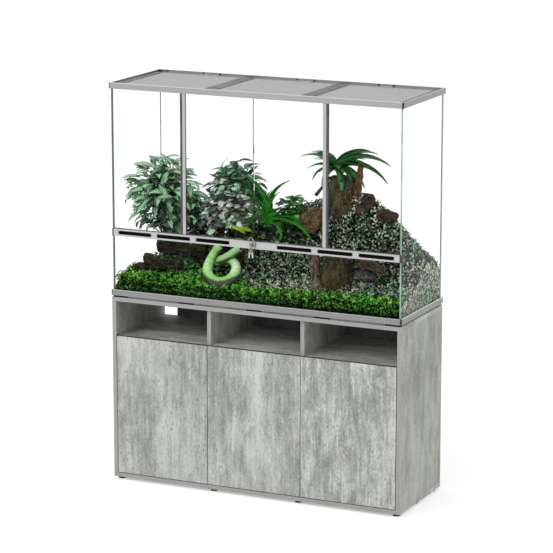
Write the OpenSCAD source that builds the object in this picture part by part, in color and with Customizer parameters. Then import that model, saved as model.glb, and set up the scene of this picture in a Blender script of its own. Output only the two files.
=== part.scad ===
// Terrarium cabinet: a glass terrarium in an aluminium frame on a board cabinet.
// Millimetres, +Z up, origin on the floor under the middle of the cabinet, front towards -Y.

/* [Cabinet] */
// Overall width of the cabinet
cab_w = 1200; // [1000:10:1500]
// Overall depth of the cabinet
cab_d = 406; // [380:2:560]
// Height of the cabinet without its feet
cab_h = 716; // [620:2:900]
// Thickness of every cabinet board
board_t = 16; // [14:1:20]
// Thickness of the back panel
back_t = 8; // [5:1:12]
// Clear height of the open niches
niche_h = 137; // [100:1:200]
// Thickness of the cabinet doors
door_t = 16; // [15:1:19]
// Gap round each cabinet door
door_gap = 2.5; // [1.5:0.5:4]
// Free travel behind a closed cabinet door
door_air = 2.5; // [2.5:0.5:5]
// Width of the cable cut-out in the back panel
cut_w = 60; // [40:2:90]
// Height of the cable cut-out in the back panel
cut_h = 56; // [40:2:90]

/* [Cabinet fittings] */
// Height of the feet
foot_h = 10; // [6:1:30]
// Diameter of the feet
foot_d = 28; // [20:1:36]
// Distance from the cabinet's sides to the middle of the outer feet
foot_side = 22; // [20:1:60]
// Distance from the cabinet's front to the middle of the front feet
foot_front = 25; // [20:1:60]
// Distance from the cabinet's back to the middle of the back feet
foot_back = 36; // [20:1:60]
// Diameter of the hinge cups
cup_d = 35; // [26:1:35]
// Depth of the hinge cups
cup_depth = 11.5; // [9:0.5:12]
// Distance from a door's edge to the middle of its hinge cups
cup_edge = 22.5; // [20:0.5:24]
// Distance from a door's ends to the middle of its hinges
hinge_end = 90; // [60:5:130]
// Length of the hinge arms
arm_len = 55; // [40:1:80]
// Diameter of the push latch plungers
plunger_d = 8; // [6:1:10]
// Length of the push latch bodies
latch_len = 60; // [50:1:80]

/* [Tank frame] */
// Distance that the terrarium frame stands past the cabinet at each side
frame_side = 1.5; // [0:0.5:5]
// Distance that the terrarium frame stands past the cabinet at the front and back
frame_front = 5; // [0:0.5:8]
// Height of the terrarium, base frame to top frame
tank_h = 820; // [620:10:1000]
// Height of the base and top frame rails
rail_h = 22; // [18:1:30]
// Width of the rail's outer wall at the front and back
lip_front = 10; // [9:1:14]
// Width of the rail's outer wall at the sides
lip_side = 6; // [5:1:10]
// Rounding of the rails' outer upper edge
rail_round = 4.5; // [2:0.5:4.5]
// Thickness of the ledges inside the rails
ledge_t = 4; // [3:0.5:6]
// Inward reach of the ledges
ledge_in = 14; // [10:1:20]
// Depth below the top of the frame at which the lids lie
lid_drop = 10; // [8:1:12]
// Thickness of the rubber pads under the tank
pad_h = 8; // [4:1:12]
// Length of the rubber pads under the tank
pad_w = 62; // [40:1:90]
// Width of the rubber pads, front to back
pad_d = 24; // [15:1:40]

/* [Glass] */
// Thickness of the panes
glass_t = 6; // [4:1:8]
// Thickness of the floor pane
floor_t = 8; // [6:1:12]
// Distance from the tank's underside to the underside of the vent rail
rail_low = 232; // [160:2:300]
// Height of the vent rail
vent_h = 28; // [24:1:36]
// Distance that the vent rail stands in front of the glass
vent_proud = 5; // [5:1:8]
// Depth of the vent rail behind the face of the glass
vent_in = 10; // [9:1:14]
// Depth of the grooves that hold the panes in the vent rail
groove = 5; // [3:1:6]
// Distance from the middle to the hinge line of each glass door
stile_x = 289; // [270:1:310]
// Diameter of the round hinge stiles
stile_d = 15; // [14:1:18]
// Thickness of the flat fin that grips the door pane
stile_fin = 10; // [9:1:12]
// Gap between the two glass doors
meet_gap = 3; // [2:0.5:5]
// Gap over and under the hinge stiles
stile_gap = 1.5; // [1:0.5:2.5]
// Diameter of the hinge pins
pin_d = 5; // [4:0.5:6]
// Radial running clearance of pins, plungers and the lock
fit = 0.05; // [0.02:0.01:0.08]
// Width of the rubber seal beside each stile
seal_w = 6.1; // [4:0.1:8]
// Gap between a stile and its seal
seal_gap = 0.4; // [0.3:0.1:1]

/* [Vents and lock] */
// Height of each vent slot
slot_h = 11.5; // [8:0.5:12]
// Distance from the middle of the rail to the first vent slot
slot_clear = 98; // [60:2:130]
// Distance between two vent slots
slot_gap = 25; // [16:1:40]
// Distance from the last vent slot to the end of the rail
slot_end = 21.5; // [16:0.5:40]
// Diameter of the lock's escutcheon
lock_d = 25; // [20:1:27]
// Diameter of the lock's cylinder
cyl_d = 12; // [10:1:14]
// Reach of the lock's tongue from the cylinder's axis
tongue_r = 22; // [20:0.5:26]
// Width of the key ring
ring_w = 31; // [26:1:36]
// Height of the key ring
ring_h = 53; // [44:1:56]
// Diameter of the key ring's wire
wire_d = 2.2; // [1.6:0.2:2.6]

/* [Lids] */
// Gap round each mesh lid
lid_gap = 1; // [0.5:0.5:2]
// Width of the dark strips at the ends of each lid
strip_w = 25; // [15:1:35]
// Thickness of the lid strips
strip_t = 3; // [2:0.5:4]
// Thickness of the mesh sheet
mesh_t = 1; // [0.8:0.1:1.5]
// Width of the cable port strip behind the lids
port_strip = 24; // [20:1:34]
// Length of the cable port slots
port_w = 50; // [40:1:56]
// Width of the cable port slots
port_d = 12; // [8:1:12]
// Length of the port shutters
shutter_w = 68; // [66:1:80]

/* [Planting] */
// Depth of the soil at the front left
soil_front = 18; // [10:1:30]
// Rise of the soil from left to right
soil_right = 26; // [0:2:40]
// Rise of the soil from front to back
soil_back = 45; // [20:5:70]
// Height of the planted bank on the right
bank_h = 320; // [200:10:340]
// Height of the earth mound on the left
mound_h = 110; // [60:10:140]
// Height of the rise in the middle, towards the back
middle_h = 140; // [80:5:160]
// Thickness of the ground cover
cover_t = 26; // [16:1:40]
// Depth of the ground cover, from the front pane backwards
cover_depth = 95; // [60:5:120]
// Length of the broad leaves
broad_len = 120; // [80:5:150]
// Width of the broad leaves
broad_wid = 44; // [30:2:56]
// Height of the feathered bush's middle over the soil
bush_lift = 322; // [290:2:340]
// Number of its leaves
bush_count = 36; // [20:1:50]
// Height of the middle of the leaves that hang under it
skirt_lift = 218; // [190:2:230]
// Number of the hanging leaves
skirt_count = 12; // [6:1:20]
// Height of the dark dome's middle over the soil
dome_lift = 250; // [220:2:270]
// Number of its leaves
dome_count = 26; // [16:1:36]
// Height of the pale round-leaved plant's middle over the soil
pale_lift = 200; // [170:2:220]
// Number of its leaves
pale_count = 16; // [8:1:24]
// Height of the low bright plant's middle over the soil
bright_lift = 192; // [170:2:210]
// Number of its leaves
bright_count = 12; // [8:1:20]
// Height of the sword rosette's crown over the soil
sword_lift = 202; // [180:2:220]
// Number of the sword rosette's leaves
sword_count = 22; // [14:1:28]
// Steepest rise of the sword rosette's leaves
sword_rise = 80; // [60:2:84]
// Height of the fern's crown over the soil
fern_lift = 116; // [100:2:130]
// Number of the fern's leaves
fern_count = 18; // [12:1:26]
// Steepest rise of the fern's leaves
fern_rise = 42; // [30:2:60]
// Length of the sword leaves
sword_len = 190; // [140:5:230]
// Width of the sword leaves
sword_wid = 26; // [18:1:34]
// Height of the snake's coil over the soil
snake_lift = 84; // [70:2:100]
// Thickness of the snake's body
snake_d = 28; // [20:1:36]
// Width of the snake's coil, from middle to middle of its body
coil_w = 124; // [100:2:150]

/* [Hidden] */
$fn = 48;
// A cut runs this far past the face that it leaves
over = 1;

// Seam between the rails' ends
seam = 0.2;

// Cabinet
side_x = cab_w / 2;
front_y = -cab_d / 2;
cab_top = foot_h + cab_h;
inner_x = side_x - board_t;
inner_z0 = foot_h + board_t;
inner_z1 = cab_top - board_t;
shelf_top = inner_z1 - niche_h;
door_w = (2 * inner_x - 4 * door_gap) / 3;
door_z0 = inner_z0 + door_gap;
door_h = shelf_top - door_z0;
div_x = (door_w + door_gap) / 2;
door_back = front_y + door_t;
inner_front = door_back + door_air;
inner_back = cab_d / 2 - back_t;
// Left edge of each cabinet door
door_x = [-inner_x + door_gap, -door_w / 2, inner_x - door_gap - door_w];
// Face that carries each door's hinges, and the side to which its door lies
hinge_face = [-inner_x, -div_x + board_t / 2, inner_x];
hinge_dir = [1, 1, -1];
// Edge of each door next to its hinges
hinge_edge = [door_x[0], door_x[1], door_x[2] + door_w];
hinge_z = [door_z0 + hinge_end, door_z0 + door_h - hinge_end];
cup_wall = 2;
flange_t = 1.5;
flange_w = 16;
flange_h = 56;
arm_h = 18;
arm_t = 11;
arm_gap = 0.8;
nose_t = 8;
latch_w = 20;
latch_h = 14;
latch_side = 34;
plunger_in = 34;
tip_gap = 0.3;

pad_inset = 2;
pad_end = 5;

// Tank
tank_z0 = cab_top + pad_h;
tank_z1 = tank_z0 + tank_h;
top_z0 = tank_z1 - rail_h;
frame_w = cab_w + 2 * frame_side;
frame_d = cab_d + 2 * frame_front;
glass_x = frame_w / 2 - lip_side;
glass_y = frame_d / 2 - lip_front;
glass_z0 = tank_z0 + ledge_t;
floor_z1 = glass_z0 + floor_t;
lid_z = tank_z1 - lid_drop;
glass_z1 = lid_z - ledge_t;
pane_x = glass_x - glass_t;
pane_y = glass_y - glass_t;
vent_z0 = tank_z0 + rail_low;
vent_z1 = vent_z0 + vent_h;
vent_mid = vent_z0 + vent_h / 2;
vent_front = -glass_y - vent_proud;
vent_back = -glass_y + vent_in;
pane_lift = 2.5;
door_pane_z0 = vent_z1 + stile_gap + pane_lift;
door_pane_z1 = top_z0 - stile_gap;
stile_y = -glass_y + glass_t / 2;
stile_grip = 6;
seal_x = stile_x + stile_d / 2 + seal_gap;
fixed_x = seal_x + seal_w;
pin_in = 5.5;
slot_w = (pane_x - slot_end - slot_clear - 2 * slot_gap) / 3;
slot_x = [for (k = [0:2]) slot_clear + slot_w / 2 + k * (slot_w + slot_gap)];
gasket_h = 3;

// Lock and keys
escutcheon_t = 3;
cyl_proud = 0.5;
tongue_w = 10;
tongue_t = 2;
tongue_y = -glass_y - 2.5;
tongue_gap = 0.2;
pull_z0 = vent_mid + tongue_r + 1;
pull_h = 10;
pull_w = 10;
pull_t = 2.5;
peg_d = 4;
ring_out = 13;
peg_len = ring_out + 2;
peg_x = -5;
peg_z = pull_z0 + 4;
peg_gap = 0.3;
ring_y = -glass_y - ring_out;
// The ring is a lens: two side arcs that run a little into the thicker arcs of its tips
lens_w = (ring_w - wire_d) / 2;
lens_h = (ring_h - wire_d) / 2;
tip_r = 4;
tip_z = lens_h - tip_r;
arc_r = (pow(lens_w, 2) + pow(tip_z, 2) - pow(tip_r, 2)) / (2 * (lens_w - tip_r));
arc_a = atan2(tip_z, arc_r - lens_w);
side_a = arc_a + 1;
sleeve_t = 0.2;
ring_z1 = peg_z + peg_d / 2 + peg_gap + (wire_d + sleeve_t) / 2;
ring_mid = ring_z1 - lens_h;
link_r = 5;
link_d = 1.6;
link_gap = 0.7;
key_dx = 3.4;
key_dy = 1.3;
// Height of the ring's wire at a distance dx from its middle, low side
function ring_low(dx) = ring_mid - sqrt(pow(arc_r, 2) - pow(abs(dx) + arc_r - lens_w, 2));
link_z = ring_low(key_dx) + wire_d / 2 + link_gap + link_d / 2 - link_r;
key_hole_d = 5;
key_t = 1.8;
bow_d = 10;
bow_rim = 1.3;
blade_w = 5;
blade_len = 20;
key_tilt = 8;

// Lids and ports
lid_w = (2 * glass_x - 4 * lid_gap) / 3;
lid_y0 = -glass_y + lid_gap;
lid_y1 = glass_y - port_strip;
lid_x = [-glass_x + lid_gap, -lid_w / 2, glass_x - lid_gap - lid_w];
tab_w = 24;
tab_d = 8;
tab_t = 2;
// Middles of the ports, as fractions of the tank's half width
port_x = [for (f = [-0.616, 0.05, 0.61]) f * glass_x];
port_y = glass_y - port_strip / 2;
port_ledge = ledge_in + port_strip;
shutter_gap = 1;
shutter_t = 3;

// Planting: places are fractions of the soil's half width and half depth
air = 1.5;
head_room = 20;
root_in = 4;
layer_in = 3;
creeper_left = -0.3;
// Angle from one leaf of a plant to the next
golden = 137.508;
// How far down a bush's leaves reach, as a share of its half height
bush_low = -0.75;
// How far each second and third leaf lies inside the crown, as a share of its size
leaf_layer = 0.1;
leaf_arch = 0.05;
leaf_droop = 0.3;
// How far a rosette's lowest leaf lies under its steepest
rosette_fan = 62;
sword_bend = 22;
fern_bend = 12;
soil_x = pane_x - air;
soil_y = pane_y - air / 2;
front_clear = vent_back + 3;
grid_x = 34;
grid_y = 12;
function unit(v) = v / norm(v);
function bump(u, v, u0, v0, su, sv) = exp(-pow((u - u0) / su, 2) - pow((v - v0) / sv, 2));
function soil_uv(u, v) = floor_z1 + soil_front + soil_right * (u + 1) / 2 + soil_back * (v + 1) / 2
    + bank_h * bump(u, v, 0.51, 0.366, 0.425, 0.601)
    + mound_h * bump(u, v, -0.493, 0.105, 0.221, 0.575)
    + middle_h * bump(u, v, 0.02, 0.55, 0.28, 0.45);
function soil_z(x, y) = soil_uv(x / soil_x, y / soil_y);
// A place at a height over the soil
function spot(u, v, h) = [u * soil_x, v * soil_y, soil_uv(u, v) + h];
function leafy(x, y, lift) = lift * (0.72 + 0.16 * sin(x * 2.9 + y) + 0.12 * sin(x * 7.1 - y * 5.3));
function mix(a, b, t) = a + (b - a) * t;

// A rail's section: an outer wall with a rounded upper edge, its outer face at x = 0
module wall_section(wall, high, round, steps = 6) {
    polygon(concat(
        [[wall, 0], [0, 0]],
        [for (i = [0:steps])
            [round - round * cos(90 * i / steps), high - round + round * sin(90 * i / steps)]],
        [[wall, high]]));
}

// Sweeps a section along +X from x0 to x1, its outer face towards -Y at y0
module rail_x(x0, x1, y0, z0) {
    translate([x0, y0, z0]) rotate([90, 0, 90]) linear_extrude(x1 - x0) children();
}

// Sweeps a section along Y from -y1 to y1, its outer face towards -X at x0
module rail_y(x0, y1, z0) {
    translate([x0, y1, z0]) rotate([90, 0, 0]) linear_extrude(2 * y1) children();
}

module box(x0, x1, y0, y1, z0, z1) {
    translate([x0, y0, z0]) cube([x1 - x0, y1 - y0, z1 - z0]);
}

// A round rod along Y between two places
module rod_y(x, z, d, y0, y1) {
    translate([x, y0, z]) rotate([-90, 0, 0]) cylinder(d = d, h = y1 - y0);
}

// ---- Cabinet boards ----
module board(x0, x1, y0, y1, z0, z1) {
    color([0.70, 0.70, 0.69]) box(x0, x1, y0, y1, z0, z1);
}

module cabinet_side_left() { board(-side_x, -inner_x, front_y, -front_y, inner_z0, inner_z1); }
module cabinet_side_right() { board(inner_x, side_x, front_y, -front_y, inner_z0, inner_z1); }
module cabinet_top_panel() { board(-side_x, side_x, front_y, -front_y, inner_z1, cab_top); }
module cabinet_bottom_panel() { board(-side_x, side_x, front_y, -front_y, foot_h, inner_z0); }

module cabinet_dividers() {
    for (s = [-1, 1])
        board(s * div_x - board_t / 2, s * div_x + board_t / 2,
            inner_front, inner_back, inner_z0, inner_z1);
}

module niche_shelves() {
    edges = [-inner_x, -div_x - board_t / 2, -div_x + board_t / 2,
        div_x - board_t / 2, div_x + board_t / 2, inner_x];
    for (i = [0:2])
        board(edges[2 * i], edges[2 * i + 1], inner_front, inner_back,
            shelf_top - board_t, shelf_top);
}

module cabinet_back_panel() {
    color([0.30, 0.30, 0.30]) difference() {
        box(-inner_x, inner_x, inner_back, -front_y, inner_z0, inner_z1);
        box(-inner_x - over, -inner_x + cut_w, inner_back - over, -front_y + over,
            shelf_top, shelf_top + cut_h);
    }
}

// ---- Cabinet doors and their fittings ----
module cabinet_door(i) {
    cup_x = hinge_edge[i] + hinge_dir[i] * cup_edge;
    color([0.72, 0.72, 0.71]) difference() {
        box(door_x[i], door_x[i] + door_w, front_y, door_back, door_z0, door_z0 + door_h);
        for (z = hinge_z)
            rod_y(cup_x, z, cup_d + 2 * fit, door_back - cup_depth, door_back + over);
    }
}

module hinge_cups(i) {
    cup_x = hinge_edge[i] + hinge_dir[i] * cup_edge;
    color([0.75, 0.75, 0.77]) for (z = hinge_z) difference() {
        union() {
            rod_y(cup_x, z, cup_d, door_back - cup_depth, door_back);
            box(cup_x - flange_w / 2, cup_x + flange_w / 2, door_back, door_back + flange_t,
                z - flange_h / 2, z + flange_h / 2);
        }
        rod_y(cup_x, z, cup_d - 2 * cup_wall, door_back - cup_depth + cup_wall,
            door_back + flange_t + over);
    }
}

module hinge_arm(i, z) {
    y0 = door_back + flange_t + arm_gap;
    x0 = hinge_face[i];
    x1 = x0 + hinge_dir[i] * arm_t;
    x2 = hinge_edge[i] + hinge_dir[i] * cup_edge;
    box(min(x0, x1), max(x0, x1), y0, y0 + arm_len, z - arm_h / 2, z + arm_h / 2);
    box(min(x0, x2), max(x0, x2), y0, y0 + nose_t, z - arm_h / 2, z + arm_h / 2);
}

module hinge_arms() {
    color([0.75, 0.75, 0.77]) for (i = [0:2], z = hinge_z) hinge_arm(i, z);
}

// Middle of each push latch: near the free edge of its door
function latch_x(i) = hinge_edge[i] + hinge_dir[i] * (door_w - latch_side);
latch_z = shelf_top - board_t - latch_h / 2;
latch_y0 = inner_front + 1;

module push_latch_bodies() {
    color([0.35, 0.35, 0.36]) for (i = [0:2]) difference() {
        box(latch_x(i) - latch_w / 2, latch_x(i) + latch_w / 2, latch_y0, latch_y0 + latch_len,
            latch_z - latch_h / 2, latch_z + latch_h / 2);
        rod_y(latch_x(i), latch_z, plunger_d + 2 * fit, latch_y0 - over,
            latch_y0 + plunger_in + door_air + 1);
    }
}

module latch_plunger(i) {
    color([0.85, 0.85, 0.85])
        rod_y(latch_x(i), latch_z, plunger_d, door_back + tip_gap, latch_y0 + plunger_in);
}

module cabinet_feet() {
    y0 = front_y + foot_front;
    y1 = -front_y - foot_back;
    pad_part = foot_h * 0.6;
    color([0.08, 0.08, 0.08])
        for (x = [-side_x + foot_side, -div_x + board_t, div_x - board_t, side_x - foot_side],
             y = [y0, (y0 + y1) / 2, y1])
            translate([x, y, 0]) {
                cylinder(d = foot_d, h = pad_part);
                translate([0, 0, pad_part]) cylinder(d = foot_d - 4, h = foot_h - pad_part);
            }
}

// ---- Tank frame ----
module tank_pads() {
    step = (side_x - pad_w / 2 - pad_end) / 2;
    y = -front_y - pad_d / 2 - pad_inset;
    color([0.07, 0.07, 0.07]) for (i = [-2:2], s = [-1, 1])
        box(i * step - pad_w / 2, i * step + pad_w / 2, s * y - pad_d / 2, s * y + pad_d / 2,
            cab_top, tank_z0);
}

module base_rails() {
    color([0.80, 0.80, 0.80]) {
        for (s = [0, 180]) rotate([0, 0, s]) union() {
            rail_x(-glass_x + seam, glass_x - seam, -frame_d / 2, tank_z0)
                wall_section(lip_front, rail_h, rail_round);
            box(-glass_x + ledge_in, glass_x - ledge_in, -glass_y - over, -glass_y + ledge_in,
                tank_z0, glass_z0);
        }
        for (s = [0, 180]) rotate([0, 0, s]) union() {
            rail_y(-frame_w / 2, frame_d / 2 - lip_side, tank_z0)
                wall_section(lip_side, rail_h, rail_round);
            box(-glass_x - over, -glass_x + ledge_in - seam, -glass_y + seam, glass_y - seam,
                tank_z0, glass_z0);
        }
    }
}

// The moulded corner pieces fill the square that the rails leave free
module corner_caps() {
    color([0.06, 0.06, 0.06])
        for (z = [tank_z0, top_z0], sx = [-1, 1], sy = [-1, 1]) {
            x = frame_w / 2 - lip_side;
            y = frame_d / 2 - lip_side;
            translate([sx * x, sy * y, z]) intersection() {
                cylinder(r = lip_side, h = rail_h);
                box(min(0, sx * lip_side), max(0, sx * lip_side),
                    min(0, sy * lip_side), max(0, sy * lip_side), 0, rail_h);
            }
        }
}

// Its ledge has a bore for the upper pin of each stile
module top_rail_front() {
    color([0.80, 0.80, 0.80]) difference() {
        union() {
            rail_x(-glass_x, glass_x, -frame_d / 2, top_z0)
                wall_section(lip_front, rail_h, rail_round);
            box(-glass_x + ledge_in, glass_x - ledge_in, -glass_y - over, -glass_y + ledge_in,
                glass_z1, lid_z);
        }
        for (s = [-1, 1]) translate([s * stile_x, stile_y, glass_z1 - over])
            cylinder(d = pin_d + 2 * fit, h = ledge_t + 2 * over);
    }
}

module top_rail_back() {
    color([0.80, 0.80, 0.80]) difference() {
        union() {
            rotate([0, 0, 180]) rail_x(-glass_x, glass_x, -frame_d / 2, top_z0)
                wall_section(lip_front, rail_h, rail_round);
            box(-glass_x + ledge_in, glass_x - ledge_in, glass_y - port_ledge, glass_y + over,
                glass_z1, lid_z);
        }
        for (x = port_x) box(x - port_w / 2, x + port_w / 2, port_y - port_d / 2,
            port_y + port_d / 2, glass_z1 - over, lid_z + over);
    }
}

module top_rails_side() {
    color([0.80, 0.80, 0.80]) for (s = [0, 180]) rotate([0, 0, s]) union() {
        rail_y(-frame_w / 2, frame_d / 2 - lip_side, top_z0)
            wall_section(lip_side, rail_h, rail_round);
        box(-glass_x - over, -glass_x + ledge_in - seam, -glass_y, glass_y,
            glass_z1, lid_z);
    }
}

// ---- Glass ----
module pane(x0, x1, y0, y1, z0, z1) {
    color([0.75, 0.88, 0.84, 0.25]) box(x0, x1, y0, y1, z0, z1);
}

module floor_glass() { pane(-pane_x, pane_x, -pane_y, pane_y, glass_z0, floor_z1); }
module glass_back() { pane(-pane_x, pane_x, pane_y, glass_y, glass_z0, glass_z1); }

module glass_sides() {
    pane(-glass_x, -pane_x, -glass_y, glass_y, glass_z0, glass_z1);
    pane(pane_x, glass_x, -glass_y, glass_y, glass_z0, glass_z1);
}

module glass_front_lower() {
    pane(-pane_x, pane_x, -glass_y, -pane_y, glass_z0, vent_z0 + groove);
}

module glass_front_fixed() {
    pane(-pane_x, -fixed_x, -glass_y, -pane_y, vent_z1 - groove, glass_z1);
    pane(fixed_x, pane_x, -glass_y, -pane_y, vent_z1 - groove, glass_z1);
}

module glass_door(s) {
    x0 = meet_gap / 2;
    x1 = stile_x - stile_d / 2 + stile_grip;
    pane(min(s * x0, s * x1), max(s * x0, s * x1), -glass_y, -pane_y,
        door_pane_z0, door_pane_z1);
}

// A round bar with a fin that grips the pane, and a pin at each end on the door's hinge line
module door_stile(s) {
    z0 = vent_z1 + stile_gap;
    z1 = top_z0 - stile_gap;
    fin_x = stile_x - stile_d / 2;
    color([0.78, 0.78, 0.78]) difference() {
        union() {
            translate([s * stile_x, stile_y, z0]) cylinder(d = stile_d, h = z1 - z0);
            box(min(s * fin_x, s * stile_x), max(s * fin_x, s * stile_x),
                stile_y - stile_fin / 2, stile_y + stile_fin / 2, z0, z1);
            translate([s * stile_x, stile_y, z0 - pin_in - stile_gap + 0.5])
                cylinder(d = pin_d, h = pin_in + stile_gap + 1);
            translate([s * stile_x, stile_y, z1 - over])
                cylinder(d = pin_d, h = lid_z - 0.5 - z1 + over);
        }
        box(min(s * (fin_x - over), s * (fin_x + stile_grip)),
            max(s * (fin_x - over), s * (fin_x + stile_grip)),
            -glass_y, -pane_y, door_pane_z0, z1 + over);
    }
}

// A small plate with a peg on the free edge of the left glass door
module door_pull() {
    y1 = -glass_y - pull_t;
    color([0.10, 0.10, 0.10]) {
        box(-meet_gap / 2 - pull_w, -meet_gap / 2 - 0.5, y1, -glass_y,
            pull_z0, pull_z0 + pull_h);
        rod_y(peg_x, peg_z, peg_d, -glass_y - peg_len, y1);
        rod_y(peg_x, peg_z, peg_d + 2, -glass_y - peg_len - 1.5, -glass_y - peg_len);
    }
}

module door_gaskets() {
    inner = stile_x - norm([stile_d / 2, stile_fin / 2]) - seal_gap;
    color([0.07, 0.07, 0.07]) {
        box(-inner, inner, -glass_y + 0.5, -pane_y - 0.5, vent_z1, vent_z1 + gasket_h);
        box(-inner, inner, -glass_y, -pane_y, top_z0 - 0.5, glass_z1);
        for (s = [-1, 1]) {
            box(min(s * seal_x, s * fixed_x), max(s * seal_x, s * fixed_x),
                -glass_y - 1.5, -pane_y + 1.5, vent_z1, top_z0);
            box(min(s * (fixed_x + 0.1), s * pane_x), max(s * (fixed_x + 0.1), s * pane_x),
                -glass_y - 1.5, -glass_y, vent_z1, vent_z1 + gasket_h);
        }
    }
}

// ---- Vent rail, grilles and lock ----
// A slot outline with round ends, its middle at the origin
module slot_outline(w, h) {
    square([w - h, h], center = true);
    for (s = [-1, 1]) translate([s * (w - h) / 2, 0]) circle(d = h);
}

// Stands an outline in the vent rail's plane and gives it a depth along +Y
module upright(x, z, y0, depth) {
    translate([x, y0 + depth, z]) rotate([90, 0, 0]) linear_extrude(depth) children();
}

module vent_rail() {
    depth = vent_back - vent_front;
    tongue_top = tongue_r + 2;
    color([0.80, 0.80, 0.80]) difference() {
        rail_x(-pane_x, pane_x, vent_front, vent_z0) wall_section(depth, vent_h, 2);
        for (s = [-1, 1], x = slot_x)
            upright(s * x, vent_mid, vent_front - over, depth + 2 * over)
                slot_outline(slot_w, slot_h);
        box(-pane_x - over, pane_x + over, -glass_y, -pane_y, vent_z0 - over, vent_z0 + groove);
        for (s = [-1, 1])
            box(min(s * fixed_x, s * (pane_x + over)), max(s * fixed_x, s * (pane_x + over)),
                -glass_y, -pane_y, vent_z1 - groove, vent_z1 + over);
        for (s = [-1, 1]) translate([s * stile_x, stile_y, vent_z1 - pin_in - 0.5])
            cylinder(d = pin_d + 2 * fit, h = pin_in + 0.5 + over);
        rod_y(0, vent_mid, cyl_d + 2 * fit, vent_front - over, vent_back + over);
        box(-tongue_w / 2 - 1, tongue_top, tongue_y - tongue_gap,
            tongue_y + tongue_t + tongue_gap, vent_mid - tongue_w / 2 - 1, vent_z1 + over);
    }
}

// Black inserts with three louvre openings each
module vent_grilles() {
    bar = 2;
    color([0.05, 0.05, 0.05]) for (s = [-1, 1], x = slot_x)
        upright(s * x, vent_mid, vent_front + 0.6, vent_proud - 1) difference() {
            slot_outline(slot_w, slot_h);
            for (k = [-1:1]) translate([0, k * (slot_h - bar) / 3])
                square([slot_w - slot_h, (slot_h - bar) / 3 - bar / 2], center = true);
        }
}

module rail_end_caps() {
    color([0.06, 0.06, 0.06]) for (s = [-1, 1])
        box(min(s * pane_x, s * glass_x), max(s * pane_x, s * glass_x),
            vent_front, -glass_y, vent_z0, vent_z1);
}

module lock_escutcheon() {
    color([0.80, 0.80, 0.80]) difference() {
        rod_y(0, vent_mid, lock_d, vent_front - escutcheon_t, vent_front);
        rod_y(0, vent_mid, cyl_d + 2 * fit, vent_front - escutcheon_t - over, vent_front + over);
    }
}

// The tongue lies flat in the rail and rises in front of both glass doors when turned
module lock_cylinder() {
    y0 = vent_front - escutcheon_t - cyl_proud;
    color([0.75, 0.75, 0.77]) difference() {
        union() {
            rod_y(0, vent_mid, cyl_d, y0, vent_back - 1);
            box(0, tongue_r, tongue_y, tongue_y + tongue_t,
                vent_mid - tongue_w / 2, vent_mid + tongue_w / 2);
        }
        box(-1, 1, y0 - over, y0 + 2, vent_mid - 3.5, vent_mid + 3.5);
    }
}

// A piece of the key ring's wire: an arc about a place in the ring's plane
module ring_arc(x, z, r, from, turn, wire) {
    translate([peg_x + x, ring_y, ring_mid + z]) rotate([90, 0, 0]) rotate([0, 0, from])
        rotate_extrude(angle = turn) translate([r, 0]) circle(d = wire, $fn = 24);
}

module key_ring() {
    tip_d = wire_d + sleeve_t;
    color([0.80, 0.80, 0.78]) {
        ring_arc(lens_w - arc_r, 0, arc_r, -side_a, 2 * side_a, wire_d);
        ring_arc(arc_r - lens_w, 0, arc_r, 180 - side_a, 2 * side_a, wire_d);
        ring_arc(0, tip_z, tip_r, arc_a, 180 - 2 * arc_a, tip_d);
        ring_arc(0, -tip_z, tip_r, 180 + arc_a, 180 - 2 * arc_a, tip_d);
    }
}

// A key hangs from a small link that goes round the ring's wire, on the side s
module hanging_key(s) {
    hole_z = -link_r + link_d / 2 + link_gap - key_hole_d / 2;
    bow_z = -bow_d / 2 + key_hole_d / 2 + bow_rim;
    translate([peg_x + s * key_dx, ring_y + s * key_dy, link_z]) rotate([0, -s * key_tilt, 0]) {
        rotate([0, 90, 0]) rotate_extrude() translate([link_r, 0]) circle(d = link_d, $fn = 16);
        translate([0, key_t / 2, hole_z]) rotate([90, 0, 0]) linear_extrude(key_t) difference() {
            union() {
                translate([0, bow_z]) circle(d = bow_d);
                translate([-blade_w / 2, bow_z - blade_len]) square([blade_w, blade_len]);
            }
            circle(d = key_hole_d);
        }
    }
}

module keys() {
    color([0.72, 0.72, 0.70]) for (s = [-1, 1]) hanging_key(s);
}

// ---- Lids and cable ports ----
module lid_mesh(i) {
    color([0.55, 0.55, 0.55])
        box(lid_x[i], lid_x[i] + lid_w, lid_y0, lid_y1, lid_z, lid_z + mesh_t);
}

module lid_strips(i) {
    x0 = lid_x[i];
    x1 = x0 + lid_w;
    color([0.33, 0.33, 0.33]) {
        box(x0, x0 + strip_w, lid_y0, lid_y1, lid_z + mesh_t, lid_z + mesh_t + strip_t);
        box(x1 - strip_w, x1, lid_y0, lid_y1, lid_z + mesh_t, lid_z + mesh_t + strip_t);
        box((x0 + x1 - tab_w) / 2, (x0 + x1 + tab_w) / 2, lid_y0, lid_y0 + tab_d,
            lid_z + mesh_t, lid_z + mesh_t + tab_t);
    }
}

module port_shutter(i) {
    color([0.78, 0.78, 0.78]) union() {
        box(port_x[i] - shutter_w / 2, port_x[i] + shutter_w / 2,
            lid_y1 + shutter_gap, glass_y - shutter_gap, lid_z, lid_z + shutter_t);
        box(port_x[i] - 2, port_x[i] + 2, port_y - 5, port_y + 5,
            lid_z + shutter_t - 0.5, lid_z + shutter_t + 2.5);
    }
}

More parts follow.
